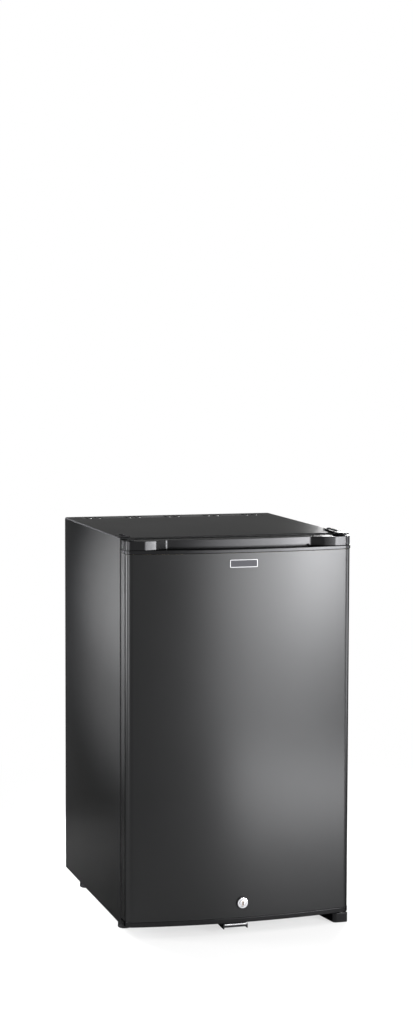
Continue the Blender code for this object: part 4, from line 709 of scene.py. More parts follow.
# door outside
def makeDoorSkin():
    outer = doorPath(0)
    inner = doorPath(0.8, door["rearY"] - 0.8)
    fold = 9.5
    half = cabinet["half"]
    outline = outer + [(half - fold, door["rearY"]), (half - fold, door["rearY"] - 0.8)]
    outline += list(reversed(inner)) + [(-half + fold, door["rearY"] - 0.8), (-half + fold, door["rearY"])]
    skin = slab("doorSkin", outline, door["skinLow"], door["skinHigh"], satinPaint, 0.2, 1, angle=30)
    shape = bmesh.new()
    shape.from_mesh(skin.data)
    for z in (54.4 - 12, 54.4 + 12):  # short faces round the lock's hole keep the bow's shading even
        bmesh.ops.bisect_plane(shape, geom=shape.verts[:] + shape.edges[:] + shape.faces[:], dist=1e-6,
                               plane_co=(0, 0, z * mm), plane_no=(0, 0, 1))
    shape.to_mesh(skin.data)
    shape.free()
    hole = lathe("hole", [(0, 20), (8.3, 20), (8.3, -5), (0, -5)], (0, door["frontY"], 54.4), (0, -1, 0),
                 satinPaint, 48)
    fit(carve(skin, [hole], angle=30), "door", "painted_steel", "door_skin")


makeDoorSkin()

band = dict(proud=1.0, edge=0.9)
groove = dict(backHalf=129.0, lip=4.5, depth=18.0, wall=2.0, undercut=6.0)


def groovePocket(name, grow, low, high, material):
    half = groove["backHalf"] + grow
    points = bowStretch(-half, half, groove["lip"] - grow)
    points += bowStretch(half, -half, groove["depth"] + groove["undercut"] + grow)
    return slab(name, points, low, high, material, 0.05, 0)


def linerSeat(material):
    half = cabinet["half"] - 10 + 0.3
    return boxPiece("seat", (-half, door["rearY"] - 1.5, door["bottomZ"] + 9.7), (half, door["rearY"] + 5,
                                                                                  door["capHigh"] - 9.7), material, 0)


def makeTopBand():
    piece = slab("doorTopBand", doorPath(-band["proud"]), door["bandLow"], door["bandHigh"], capPlastic, band["edge"],
                 3, angle=30)
    floorZ = door["bandHigh"] - 18
    pocket = groovePocket("pocket", groove["wall"], floorZ - groove["wall"], door["bandLow"] + 3.1, capPlastic)
    carve(piece, [pocket], "UNION")
    opening = groovePocket("opening", 0, floorZ, door["bandHigh"] + 5, capPlastic)
    carve(piece, [opening, linerSeat(capPlastic)], angle=30)
    fit(piece, "door", "charcoal_plastic", "door_top_band")


makeTopBand()

grip = dict(mouthHalf=168.0, shoulderRun=18.0, shoulderDepth=6.0, backHalf=129.0, slopeRadius=9.0, depth=18.0,
            rim=0.7, rimSteps=3, undercutHeight=3.6)


def scoopLine():
    # left side wall of the scoop: shallow shoulder, steeper slope, start of the back wall
    shoulder = grip["mouthHalf"] - grip["shoulderRun"]
    inner = grip["backHalf"] - 2 * grip["slopeRadius"]
    corners = [(-grip["mouthHalf"], bowY(grip["mouthHalf"]), 0),
               (-shoulder, bowY(shoulder) + grip["shoulderDepth"], 0),
               (-grip["backHalf"], bowY(grip["backHalf"], grip["depth"]), 0), (-inner, bowY(inner, grip["depth"]), 0)]
    return [(point.x, point.y) for point in bentPath(corners, grip["slopeRadius"], 9)]


def makeGripCap():
    outline = doorPath(0)
    left = [place for place in outline if place[0] < -grip["mouthHalf"]]
    right = [place for place in outline if place[0] > grip["mouthHalf"]]
    wall = scoopLine()
    scoop = wall + bowStretch(wall[-1][0], -wall[-1][0], grip["depth"])[1:-1] + [(-x, y) for x, y in reversed(wall)]
    cap = slab("doorGripCap", left + scoop + right, door["capLow"], door["capHigh"], capPlastic, grip["rim"],
               grip["rimSteps"], angle=30)
    half = grip["backHalf"] - 3
    room = bowStretch(-half, half, grip["depth"] - 5) + bowStretch(half, -half, grip["depth"] + 6)
    under = slab("under", room, door["capLow"] - 5, door["capLow"] + grip["undercutHeight"], capPlastic, 0.05, 0)
    cutters = [under, linerSeat(capPlastic)]
    for side in (-1, 1):
        cutters.append(lathe("hole", [(0, 20), (5.3, 20), (5.3, -8.3), (0, -8.3)],
                             (side * door["pivotX"], door["pivotY"], door["capHigh"]), (0, 0, 1), capPlastic, 32))
    carve(cap, cutters, angle=30)
    fit(cap, "door", "charcoal_plastic", "door_grip_cap")


makeGripCap()

bottomCap = dict(height=8.5, proud=0.6, edge=0.8)


def makeBottomCap():
    top = door["bottomZ"] + bottomCap["height"]
    cap = slab("doorBottomCap", doorPath(-bottomCap["proud"]), door["bottomZ"], top, capPlastic, bottomCap["edge"], 3,
               angle=30)
    cutters = [linerSeat(capPlastic),
               boxPiece("slot", (-37.9, -220.9, 10), (7.0, -216.4 + 0.5, 40), capPlastic, 0)]
    for side in (-1, 1):
        cutters.append(lathe("hole", [(0, 20), (5.3, 20), (5.3, -20), (0, -20)],
                             (side * door["pivotX"], door["pivotY"], door["bottomZ"]), (0, 0, 1), capPlastic, 32))
    fit(carve(cap, cutters, angle=30), "door", "charcoal_plastic", "door_bottom_cap")


makeBottomCap()

plate = dict(halfWidth=24.4, low=634.5, high=647.7, corner=1.2, rim=0.9, thickness=1.1)


def makeBarePlate():
    # bare plate where the maker's one would be: bright rim, dark face
    lift = bowY(0) - plate["thickness"]
    middle = (plate["low"] + plate["high"]) / 2
    tall = (plate["high"] - plate["low"]) / 2

    def rounded(half, height, radius):
        points = []
        for cx, cz, start in ((half - radius, height - radius, 0), (-half + radius, height - radius, 90),
                              (-half + radius, -height + radius, 180), (half - radius, -height + radius, 270)):
            for step in range(5):
                angle = math.radians(start + 22.5 * step)
                points.append((cx + radius * math.cos(angle), middle + cz + radius * math.sin(angle)))
        return points

    rimPiece = slab("plateRim", [rounded(plate["halfWidth"], tall, plate["corner"]),
                                 rounded(plate["halfWidth"] - plate["rim"], tall - plate["rim"], 0.6)],
                    lift, bowY(24) + 0.0, plateRim, 0.2, 2, "Y")
    facePiece = slab("plateFace", rounded(plate["halfWidth"] - plate["rim"] - 0.02, tall - plate["rim"] - 0.02, 0.55),
                     lift + 0.35, bowY(24), plateBlack, 0.05, 1, "Y")
    fit(rimPiece, "door", "bright_steel")
    fit(facePiece, "door", "black_plastic")


makeBarePlate()

lock = dict(z=54.4, faceRadius=9.2, faceRise=3.4, plugRadius=5.8, plugRise=4.2, bezelRadius=10.8, bezelWall=1.3,
            bezelRise=2.0, sleeve=8.0, depth=22.0, camThick=2.5)


def makeLock():
    place = (0, door["frontY"], lock["z"])
    inner = lock["bezelRadius"] - lock["bezelWall"]
    bezel = [(inner, 1.6), (inner + 0.3, 2.0), (lock["bezelRadius"] - 0.6, 2.0), (lock["bezelRadius"] - 0.15, 1.7),
             (lock["bezelRadius"], 1.2), (lock["bezelRadius"], 0.3), (inner, 0.3)]
    fit(lathe("lockBezel", bezel, place, (0, -1, 0), blackPlastic, 64), "door", "black_plastic", "lock_bezel")
    bore = lock["plugRadius"] + 0.3
    back = -(lock["depth"] - lock["camThick"] - 0.3)
    barrel = [(bore, 3.1), (bore + 0.3, lock["faceRise"]), (8.4, 3.4), (8.9, 3.2), (9.2, 2.7), (9.2, 0.3), (8.0, 0.3)]
    thread = 1.2
    z = -1.0
    while z > back + 1:
        barrel += [(8.0, z), (7.6, z - thread / 2)]
        z -= thread
    barrel += [(8.0, back), (bore, back)]
    fit(lathe("lockBarrel", barrel, place, (0, -1, 0), lockChrome, 64), "door", "chrome", "lock_barrel")
    plugBack = lock["camThick"] - lock["depth"]
    plug = [(0, 4.2), (4.9, 4.2), (5.5, 4.0), (5.8, 3.5), (5.8, plugBack), (0, plugBack)]
    turning = lathe("lockPlug", plug, place, (0, -1, 0), lockChrome, 64)
    keyhole = boxPiece("keyhole", (-1.2, door["frontY"] - 10, lock["z"] - 3.8), (1.2, door["frontY"] + 2.8,
                                                                                lock["z"] + 3.8), lockChrome, 0)
    fit(carve(turning, [keyhole]), "lock_core", "chrome", "lock_plug")
    ways = [(-1.15, lock["z"] - 3.75), (1.15, lock["z"] - 3.75), (1.15, lock["z"] - 1.2), (0.2, lock["z"] - 0.7),
            (0.2, lock["z"] + 0.5), (1.15, lock["z"] + 1.0), (1.15, lock["z"] + 3.75), (-1.15, lock["z"] + 3.75),
            (-1.15, lock["z"] + 1.8), (-0.2, lock["z"] + 1.2), (-0.2, lock["z"] - 1.6), (-1.15, lock["z"] - 2.2)]
    lining = slab("keyway", ways, door["frontY"] - 3.0, door["frontY"] + 2.7, keyBrass, 0.05, 1, "Y")
    fit(lining, "lock_core", "chrome")
    nutLow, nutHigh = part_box("lock_nut")
    sides = [(11 * math.cos(math.pi / 3 * step), lock["z"] + 11 * math.sin(math.pi / 3 * step)) for step in range(6)]
    hole = [(8.3 * math.cos(math.pi / 16 * step), lock["z"] + 8.3 * math.sin(math.pi / 16 * step))
            for step in range(32)]
    nut = slab("lockNut", [sides, hole], nutLow.y / mm, nutHigh.y / mm, brightZinc, 0.5, 2, "Y")
    fit(nut, "door", "bright_steel", "lock_nut")
    camLow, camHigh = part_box("lock_cam")
    points = [(-43, lock["z"] + 3.3), (-43, lock["z"] - 3.3)]
    for step in range(21):
        angle = math.pi * (step / 20 - 0.5)
        points.append((5.5 * math.cos(angle), lock["z"] + 5.5 * math.sin(angle)))
    cam = slab("lockCam", points, camLow.y / mm, camHigh.y / mm, brightZinc, 0.3, 2, "Y")
    fit(cam, "lock_core", "bright_steel", "lock_cam")
    screw = screwHead("camScrew", (0, camHigh.y / mm, lock["z"]), (0, 1, 0), 3.6, 1.2)
    fit(screw, "lock_core", "bright_steel")


makeLock()


def makeBushes():
    for side, sideName in ((-1, "left"), (1, "right")):
        for up, endName in ((-1, "lower"), (1, "upper")):
            face = door["capHigh"] if up > 0 else door["bottomZ"]
            profile = [(3.3, 1.1), (3.8, 1.6), (6.2, 1.6), (6.7, 1.2), (6.8, 0.8), (6.8, 0.3), (5.0, 0.3), (5.0, -8.0),
                       (3.3, -8.0)]
            piece = lathe(endName + "Bush" + sideName.capitalize(), profile,
                          (side * door["pivotX"], door["pivotY"], face), (0, 0, up), blackPlastic, 36)
            fit(piece, "door", "black_plastic", endName + "_bush_" + sideName)


makeBushes()
print("stage: door outside")

# inside the cabinet
liner = dict(half=163.0, lowZ=54.0, highZ=643.5, frontY=-175.3, backY=109.6, wall=1.5, flange=15.0, corner=16.0,
             ledgeLevels=(136.0, 226.0, 316.0, 406.0), ledgeDepth=9.0, ledgeHeight=7.0, ledgeFront=-158.4,
             ledgeBack=79.6, drainX=-60.0, drainRadius=4.3)


def linerBlock(grow, startY, segments=7):
    shape = boxShape((-liner["half"] - grow, startY, liner["lowZ"] - grow),
                     (liner["half"] + grow, liner["backY"] + grow, liner["highZ"] + grow))
    chosen = [edge for edge in shape.edges if max(vertex.co.y for vertex in edge.verts) > 0]
    bmesh.ops.bevel(shape, geom=chosen, offset=(liner["corner"] + grow) * mm, segments=segments, profile=0.5,
                    affect="EDGES")
    return fromShape("linerBlock", shape, linerPlastic)


def trayLevel():
    return liner["highZ"] - evaporator["drop"] - evaporator["height"] - tray["below"] - tray["height"]


def drainHole(radius):
    return lathe("drainHole", [(0, 80), (radius, 80), (radius, -20), (0, -20)],
                 (liner["drainX"], 90, trayLevel() + tray["height"] / 2), (0, 1, 0), linerPlastic, 24)


def makeInnerLiner():
    flangeHalf = liner["half"] + liner["flange"]
    shell = boxPiece("innerLiner", (-flangeHalf, liner["frontY"], liner["lowZ"] - liner["flange"]),
                     (flangeHalf, liner["frontY"] + liner["wall"], liner["highZ"] + liner["flange"]), linerPlastic, 0)
    carve(shell, [linerBlock(liner["wall"], liner["frontY"] + liner["wall"] / 2)], "UNION")
    carve(shell, [linerBlock(0, liner["frontY"] - 20)])
    ledges = []
    for level in liner["ledgeLevels"]:
        for side in (-1, 1):
            tip, root = side * (liner["half"] - liner["ledgeDepth"]), side * (liner["half"] + 0.75)
            ledges.append(boxPiece("ledge", (min(tip, root), liner["ledgeFront"], level - liner["ledgeHeight"]),
                                   (max(tip, root), liner["ledgeBack"], level), linerPlastic, 0))
    carve(shell, ledges, "UNION")
    carve(shell, [drainHole(liner["drainRadius"])])
    softEdges(shell, 0.7, 3, 50)
    fit(shell, "cabinet", "white_plastic", "inner_liner")


evaporator = dict(width=190.0, height=108.0, drop=20.0, base=4.0, finDepth=24.0, fin=1.6, fins=14)
tray = dict(margin=10.0, depth=38.0, height=18.0, wall=1.5, corner=4.0, below=12.0)


def makeEvaporator():
    half, rear = evaporator["width"] / 2, liner["backY"] - 0.3
    low = liner["highZ"] - evaporator["drop"] - evaporator["height"]
    root = rear - evaporator["base"]
    tip = root - evaporator["finDepth"]
    pitch = (evaporator["width"] - evaporator["fin"]) / (evaporator["fins"] - 1)
    outline = [(-half, rear)]
    for number in range(evaporator["fins"]):
        left = -half + number * pitch
        right = left + evaporator["fin"]
        if number:
            outline += [(left - 0.8, root), (left, root - 0.8)]
        outline += [(left, tip + 0.6), (left + 0.25, tip + 0.15), (left + 0.6, tip), (right - 0.6, tip),
                    (right - 0.25, tip + 0.15), (right, tip + 0.6)]
        if number < evaporator["fins"] - 1:
            outline += [(right, root - 0.8), (right + 0.8, root)]
    outline.append((half, rear))
    fit(slab("evaporatorFins", outline, low, low + evaporator["height"], finMetal, 0.15, 1), "cabinet", "aluminium",
        "evaporator")
    screws = []
    for number in (1, 6, 11):
        for z in (low + 12, low + evaporator["height"] - 12):
            screws.append(screwHead("screw", (-half + (number + 0.5) * pitch + 0.8, root, z), (0, -1, 0), 3.2, 1.6,
                                    screwZinc, number))
    fit(gather("evaporatorScrews", screws), "cabinet", "bright_steel")


def makeDripTray():
    half, rear, low = evaporator["width"] / 2 + tray["margin"], liner["backY"] - 0.3, trayLevel()
    wall, front = tray["wall"], liner["backY"] - 0.3 - tray["depth"]
    piece = boxPiece("dripTray", (-half, front, low), (half, rear, low + tray["height"]), linerPlastic, tray["corner"],
                     6, "Z")
    inside = boxPiece("inside", (-half + wall, front + wall, low + wall), (half - wall, rear - wall, low + 40),
                      linerPlastic, tray["corner"] - wall, 6, "Z")
    carve(piece, [inside, drainHole(liner["drainRadius"])])
    rimTop = low + tray["height"] - 0.2
    rim = boxPiece("rim", (-half - 0.7, front - 0.7, rimTop - 2.2), (half + 0.7, rear, rimTop), linerPlastic,
                   tray["corner"], 6, "Z")
    hole = boxPiece("hole", (-half + wall, front + wall, low), (half - wall, rear - wall, low + 40), linerPlastic,
                    tray["corner"] - wall, 6, "Z")
    carve(rim, [hole])
    carve(piece, [rim], "UNION")
    fit(softEdges(piece, 0.35, 2), "cabinet", "white_plastic", "drip_tray")


drain = dict(radius=4.0, bore=2.8, dropY=160.7, bend=8.0, cup=(70.0, 56.0, 22.0), cupCorner=5.0, cupWall=1.5)


def makeDrain():
    z = trayLevel() + tray["height"] / 2
    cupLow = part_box("drain_cup")[0] / mm
    corners = [(liner["drainX"], liner["backY"] - 1.8, z), (liner["drainX"], drain["dropY"], z),
               (liner["drainX"], drain["dropY"], cupLow.z + 9.5)]
    path = bentPath(corners, drain["bend"], 10)
    tube = pipeShape(path, drain["radius"], 24)
    piece = fromShape("drainTube", tube, blackPlastic, 50)
    bore = pipePiece("bore", [path[-1] + Vector((0, 0, 25)), path[-1] - Vector((0, 0, 5))], drain["bore"],
                     blackPlastic, 20)
    fit(carve(piece, [bore]), "cabinet", "black_plastic", "drain_tube")
    grommet = [(4.2, 3.2), (6.2, 3.2), (7.2, 2.6), (7.6, 1.6), (7.6, 0.4), (4.2, 0.4)]
    fit(lathe("drainGrommet", grommet, (liner["drainX"], cabinet["bayY"], z), (0, 1, 0), sealRubber, 32), "cabinet",
        "gasket_rubber")
    wide, deep, tall = drain["cup"]
    low = (cupLow.x, cupLow.y, cupLow.z)
    high = (low[0] + wide, low[1] + deep, low[2] + tall)
    cup = boxPiece("drainCup", low, high, blackPlastic, drain["cupCorner"], 7, "Z")
    wall = drain["cupWall"]
    inside = boxPiece("inside", (low[0] + wall, low[1] + wall, low[2] + wall),
                      (high[0] - wall, high[1] - wall, high[2] + 5), blackPlastic, drain["cupCorner"] - wall, 7, "Z")
    carve(cup, [inside])
    fit(softEdges(cup, 0.4, 2), "cabinet", "black_plastic", "drain_cup")


makeInnerLiner()
makeEvaporator()
makeDripTray()
makeDrain()

controls = dict(low=(56.0, -134.4, 605.5), high=(140.0, -44.4, 643.2), corner=4.0, knobX=98.0, knobZ=624.35,
                dialRadius=16.6, marks=7, tickLength=2.2, numberSize=3.6, vents=9)
knob = dict(faceY=-134.7, radius=13.5, length=15.0, grip=4.0, body=6.8)


def dialNumber(text, x, y, z, size):
    # plain figures on the dial, laid on the housing's face
    curve = bpy.data.curves.new("dialNumber", "FONT")
    curve.body = text
    curve.size = size * mm
    curve.extrude = 0.08 * mm
    curve.align_x = "CENTER"
    curve.align_y = "CENTER"
    holder = bpy.data.objects.new("dialNumber", curve)
    scene.collection.objects.link(holder)
    bpy.context.view_layer.update()
    mesh = bpy.data.meshes.new_from_object(holder.evaluated_get(bpy.context.evaluated_depsgraph_get()))
    bpy.data.objects.remove(holder)
    mesh.transform(Matrix.Translation((x * mm, y * mm, z * mm)) @ Matrix.Rotation(math.pi / 2, 4, "X"))
    piece = bpy.data.objects.new("dialNumber", mesh)
    scene.collection.objects.link(piece)
    mesh.materials.clear()
    mesh.materials.append(printInk)
    return piece


def makeControls():
    low, high = controls["low"], controls["high"]
    housing = boxPiece("controlHousing", low, high, linerPlastic, controls["corner"], 6)
    cutters = []
    for number in range(controls["vents"]):
        y = low[1] + 22 + number * 6.5
        cutters.append(boxPiece("vent", (low[0] + 14, y, low[2] - 3), (high[0] - 14, y + 2.4, low[2] + 1.6),
                                linerPlastic, 1.1, 3, "Z"))
    recess = [(0, 5), (14.3, 5), (14.3, -0.8), (0, -0.8)]
    cutters.append(lathe("recess", recess, (controls["knobX"], low[1], controls["knobZ"]), (0, -1, 0), linerPlastic,
                         64))
    carve(housing, cutters)
    fit(softEdges(housing, 0.3, 2, 50), "cabinet", "white_plastic", "control_housing")
    prints = []
    for number in range(controls["marks"] + 1):
        angle = math.radians(225 - 270 * number / controls["marks"])
        reach = controls["dialRadius"]
        x, z = controls["knobX"] + reach * math.cos(angle), controls["knobZ"] + reach * math.sin(angle)
        prints.append(dialNumber(str(number), x, low[1] - 0.05, z, controls["numberSize"]))
    fit(gather("dialNumbers", prints), "cabinet", "black_plastic")
    cy = knob["faceY"]
    profile = [(0, 15), (9.2, 15), (10.2, 14.6), (10.7, 13.8), (11.3, 9), (12.1, 3.2), (13.2, 1.7), (13.5, 1.2),
               (13.5, 0), (0, 0)]
    turning = lathe("thermostatKnob", profile, (controls["knobX"], cy, controls["knobZ"]), (0, -1, 0), linerPlastic,
                    72)
    scoops = []
    for side in (-1, 1):
        near, far = controls["knobX"] + side * knob["grip"] / 2, controls["knobX"] + side * 30
        scoops.append(boxPiece("scoop", (min(near, far), cy - 25, controls["knobZ"] - 30),
                               (max(near, far), cy - knob["body"], controls["knobZ"] + 30), linerPlastic, 2.0, 5, "Z"))
    carve(turning, scoops)
    fit(softEdges(turning, 0.4, 3), "thermostat", "white_plastic", "thermostat_knob")
    pointer = boxPiece("knobPointer", (controls["knobX"] - 0.55, cy - 15.06, controls["knobZ"] + 1.5),
                       (controls["knobX"] + 0.55, cy - 14.5, controls["knobZ"] + 9.0), printInk, 0.25, 2)
    fit(pointer, "thermostat", "black_plastic")


lamp = dict(width=42.0, depth=70.0, height=26.0, corner=5.0, ribs=12)


def makeLamp():
    low, high = (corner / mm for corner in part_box("lamp_lens"))
    lens = boxPiece("lampLens", low, high, lensPlastic, lamp["corner"], 6)
    cutters = []
    pitch = (high.y - low.y - 16) / lamp["ribs"]
    for number in range(lamp["ribs"] + 1):
        y = low.y + 8 + number * pitch
        groovePoints = [(y - 1.2, low.z - 2), (y + 1.2, low.z - 2), (y + 0.2, low.z + 0.9), (y - 0.2, low.z + 0.9)]
        cutters.append(slab("rib", groovePoints, low.x + 5, high.x - 5, lensPlastic, 0.05, 0, "X"))
    carve(lens, cutters)
    fit(lens, "cabinet", "clear_plastic", "lamp_lens")


makeControls()
makeLamp()

shelf = dict(rod=2.6, wire=1.5, rise=1.4, wires=13, half=159.2, frontY=-80.4, rearY=101.0, corner=22.0,
             levels=dict(lower=226.0, upper=406.0), ties=(-0.62, 0.62))


def makeShelves():
    half, front, rear = shelf["half"], shelf["frontY"], shelf["rearY"]
    for sideName, level in shelf["levels"].items():
        z = level + 0.3 + shelf["rod"]
        corners = [(0, front, z), (half, front, z), (half, rear, z), (-half, rear, z), (-half, front, z), (0, front, z)]
        shape = pipeShape(bentPath(corners, shelf["corner"], 12)[:-1], shelf["rod"], 18, True)
        pitch = 2 * half / (shelf["wires"] + 1)
        for number in range(shelf["wires"]):
            x = -half + pitch * (number + 1)
            pipeShape([(x, front - 1, z + shelf["rise"]), (x, front - 0.4, z + shelf["rise"]),
                       (x, rear + 0.4, z + shelf["rise"]), (x, rear + 1, z + shelf["rise"])], shelf["wire"], 12, False,
                      shape)
        for share in shelf["ties"]:
            x = (front + rear) / 2 + share * (rear - front) / 2
            pipeShape([(-half, x, z - 0.9), (half, x, z - 0.9)], 1.2, 10, False, shape)
        fit(fromShape(sideName + "Shelf", shape, whiteWire, 50), sideName + "_wire_shelf", "white_wire",
            sideName + "_shelf")


makeShelves()
print("stage: inside the cabinet")

# inside of the door
doorLiner = dict(half=191.0, lowZ=30.0, highZ=671.5, faceY=-186.6, rearY=-185.4, frameHalf=152.0, frameLow=66.0,
                 frameHigh=631.5, rib=14.0, rise=27.0, corner=10.0, lug=10.0, lugHeight=6.0, lugSetback=5.0)
rack = dict(places=dict(lower=(86.0, 78.0), upper=(331.0, 58.0)), depth=82.0, wall=2.0, corner=10.0, key=3.0,
            keyWidth=5.0, keyBack=16.0, keyEnd=6.0, lift=12.0)


def makeDoorLiner():
    d = doorLiner
    piece = boxPiece("doorLiner", (-d["half"], d["faceY"], d["lowZ"]), (d["half"], d["rearY"], d["highZ"]), linerPlastic,
                     0)
    riseY = d["rearY"] + d["rise"]
    outer = boxPiece("outer", (-d["frameHalf"], d["rearY"] - 0.6, d["frameLow"]), (d["frameHalf"], riseY, d["frameHigh"]),
                     linerPlastic, d["corner"], 8, "Y")
    inner = boxPiece("inner", (-d["frameHalf"] + d["rib"], d["rearY"] - 5, d["frameLow"] + d["rib"]),
                     (d["frameHalf"] - d["rib"], riseY + 5, d["frameHigh"] - d["rib"]), linerPlastic, 2, 4, "Y")
    carve(outer, [inner])
    carve(piece, [outer], "UNION")
    keyY = d["rearY"] + rack["keyBack"]
    inside = d["frameHalf"] - d["rib"]
    for z, height in rack["places"].values():
        for side in (-1, 1):
            limits = sorted((side * (inside - d["lug"]), side * (inside + d["rib"] / 2)))
            carve(piece, [boxPiece("lug", (limits[0], d["rearY"] - 0.6, z - 0.3 - d["lugHeight"]),
                                   (limits[1], riseY - d["lugSetback"], z - 0.3), linerPlastic, 0)], "UNION")
            limits = sorted((side * (inside - 5), side * (inside + rack["key"] + 0.3)))
            carve(piece, [boxPiece("keySlot", (limits[0], keyY - 0.3, z - 0.3),
                                   (limits[1], keyY + rack["keyWidth"] + 0.3, z + height + rack["lift"]),
                                   linerPlastic, 0)])
    fit(softEdges(piece, 0.8, 3, 50), "door", "white_plastic", "door_liner")


def makeRacks():
    inside = doorLiner["frameHalf"] - doorLiner["rib"] - 0.3
    rear = doorLiner["rearY"] + 0.3
    front, wall = rear + rack["depth"], rack["wall"]
    keyY = doorLiner["rearY"] + rack["keyBack"]
    for sideName, (z, height) in rack["places"].items():
        bin = boxPiece(sideName + "Rack", (-inside, rear, z), (inside, front, z + height), clearPlastic,
                       rack["corner"], 8, "Z")
        space = boxPiece("space", (-inside + wall, rear + wall, z + wall), (inside - wall, front - wall, z + height + 9),
                         clearPlastic, rack["corner"] - wall, 8, "Z")
        carve(bin, [space])
        bars = []
        for share in (0.3, 0.55, 0.8):
            bars.append(boxPiece("bar", (-inside + 14, front - wall - 0.8, z + height * share),
                                 (inside - 14, front - wall / 2, z + height * share + 2.4), clearPlastic, 0))
        for side in (-1, 1):
            limits = sorted((side * (inside - wall / 2), side * (inside + rack["key"])))
            bars.append(boxPiece("key", (limits[0], keyY, z + rack["keyEnd"]),
                                 (limits[1], keyY + rack["keyWidth"], z + height - rack["keyEnd"]), clearPlastic, 0))
        carve(bin, bars, "UNION")
        fit(softEdges(bin, 0.45, 3, 50), sideName + "_door_rack", "clear_plastic", sideName + "_rack")


gasket = dict(half=186.0, lowZ=30.0, highZ=666.0, width=18.0, corner=6.0, frontY=-185.1, rearY=-176.7)


def makeGasket():
    # a rounded magnet edge on folded bellows, swept round a frame with rounded corners
    deep = gasket["rearY"] - gasket["frontY"]
    profile = [(4.0, 0), (7.2, 0), (7.2, 0.22), (10.8, 0.22), (10.8, 0), (14.0, 0), (14.6, 0.06), (15.8, 0.16),
               (13.6, 0.26), (12.8, 0.36), (15.6, 0.44), (17.6, 0.52), (18.0, 0.62), (18.0, 0.86), (17.6, 0.96),
               (16.8, 1.0), (1.2, 1.0), (0.4, 0.96), (0, 0.86), (0, 0.62), (0.4, 0.52), (2.4, 0.44), (5.2, 0.36),
               (4.4, 0.26), (2.2, 0.16), (3.4, 0.06)]
    shape = bmesh.new()
    middle = (gasket["lowZ"] + gasket["highZ"]) / 2
    tall = (gasket["highZ"] - gasket["lowZ"]) / 2
    loops = []
    for inset, share in profile:
        radius = max(gasket["corner"] - inset, 1.2)
        half, height = gasket["half"] - inset, tall - inset
        loop = []
        for cx, cz, start in ((half - radius, height - radius, 0), (radius - half, height - radius, 90),
                              (radius - half, radius - height, 180), (half - radius, radius - height, 270)):
            for step in range(9):
                angle = math.radians(start + 90 * step / 8)
                loop.append(shape.verts.new(((cx + radius * math.cos(angle)) * mm, (gasket["frontY"] + share * deep) * mm,
                                             (middle + cz + radius * math.sin(angle)) * mm)))
        loops.append(loop)
    for first, second in zip(loops, loops[1:] + loops[:1]):
        for index in range(len(first)):
            after = (index + 1) % len(first)
            shape.faces.new((first[index], first[after], second[after], second[index]))
    fit(fromShape("doorGasket", shape, sealRubber, 40), "door", "gasket_rubber", "door_gasket")


makeDoorLiner()
makeRacks()
makeGasket()
print("stage: inside the door")

# cooling unit behind the back panel, with the panel it stands on
unit = dict(y=180.6, pipe=7.0, standoff=150.7)
backPanel = dict(beads=3, beadWidth=7.0, beadRise=1.1, screwInset=9.0)


def makeBackPanel():
    low, high = (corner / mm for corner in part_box("back_panel"))
    panel = boxPiece("backPanel", low, high, spangleZinc, 0)
    cutters = []
    for side in (-1, 1):
        limits = sorted((side * (high.x - 6), side * (high.x + 5)))
        cutters.append(boxPiece("notch", (limits[0], low.y - 5, high.z - 3), (limits[1], high.y + 5, high.z + 5),
                                spangleZinc, 0))
    carve(panel, cutters + [drainHole(liner["drainRadius"])])
    beads = []
    for number in range(backPanel["beads"]):
        z = 58 + number * 262
        bead = boxPiece("bead", (low.x + 16, high.y - 0.3, z), (high.x - 16, high.y + backPanel["beadRise"],
                                                                z + backPanel["beadWidth"]), spangleZinc, 0)
        beads.append(softEdges(bead, 0.9, 3))
    carve(panel, beads[:1] + beads[2:], "UNION")
    bpy.data.objects.remove(beads[1])
    fit(panel, "cabinet", "zinc_sheet", "back_panel")
    screws = []
    for x in (low.x + backPanel["screwInset"], high.x - backPanel["screwInset"]):
        for z in (40, 200, 360, 520, 660):
            screws.append(screwHead("screw", (x, high.y, z), (0, 1, 0), 3.6, 1.8, screwZinc, z))
    fit(gather("backPanelScrews", screws), "cabinet", "bright_steel")


casing = dict(low=(62.0, 150.7, 126.0), high=(150.0, 226.7, 356.0), corner=12.0, lip=2.4, rivets=7)


def makeBoilerCasing():
    low, high = casing["low"], casing["high"]
    body = boxPiece("boilerCasing", low, high, spangleZinc, casing["corner"], 10, "Z")
    grooves = []
    for z in (low[2] + 14, high[2] - 16):
        ring = boxPiece("ring", (low[0] - 5, low[1] - 5, z), (high[0] + 5, high[1] + 5, z + 1.4), spangleZinc, 0)
        core = boxPiece("core", (low[0] + 0.8, low[1] + 0.8, z - 3), (high[0] - 0.8, high[1] - 0.8, z + 6), spangleZinc,
                        casing["corner"] - 0.8, 10, "Z")
        grooves.append(carve(ring, [core]))
    carve(body, grooves)
    fit(softEdges(body, 0.5, 2), "cabinet", "zinc_sheet", "boiler_casing")
    seamX = high[0] - 26
    seam = boxPiece("casingSeam", (seamX, high[1] - 0.4, low[2] + 16.4), (seamX + 13, high[1] + 0.7, high[2] - 17),
                    spangleZinc, 0.5, 2)
    fit(seam, "cabinet", "zinc_sheet")
    rivets = []
    for number in range(casing["rivets"]):
        z = low[2] + 30 + number * (high[2] - low[2] - 60) / (casing["rivets"] - 1)
        dome = [(0, 1.3), (1.2, 1.1), (2.0, 0.6), (2.3, 0), (0, 0)]
        rivets.append(lathe("rivet", dome, (seamX + 6.5, high[1] + 0.7, z), (0, 1, 0), screwZinc, 20))
    fit(gather("casingRivets", rivets), "cabinet", "bright_steel")
    collar = [(7.2, 2.6), (9.4, 2.3), (11.5, 1.2), (12.4, 0), (7.2, 0)]
    fit(lathe("casingCollar", collar, ((low[0] + high[0]) / 2, unit["y"], high[2]), (0, 0, 1), weldSteel, 36), "cabinet",
        "black_steel")


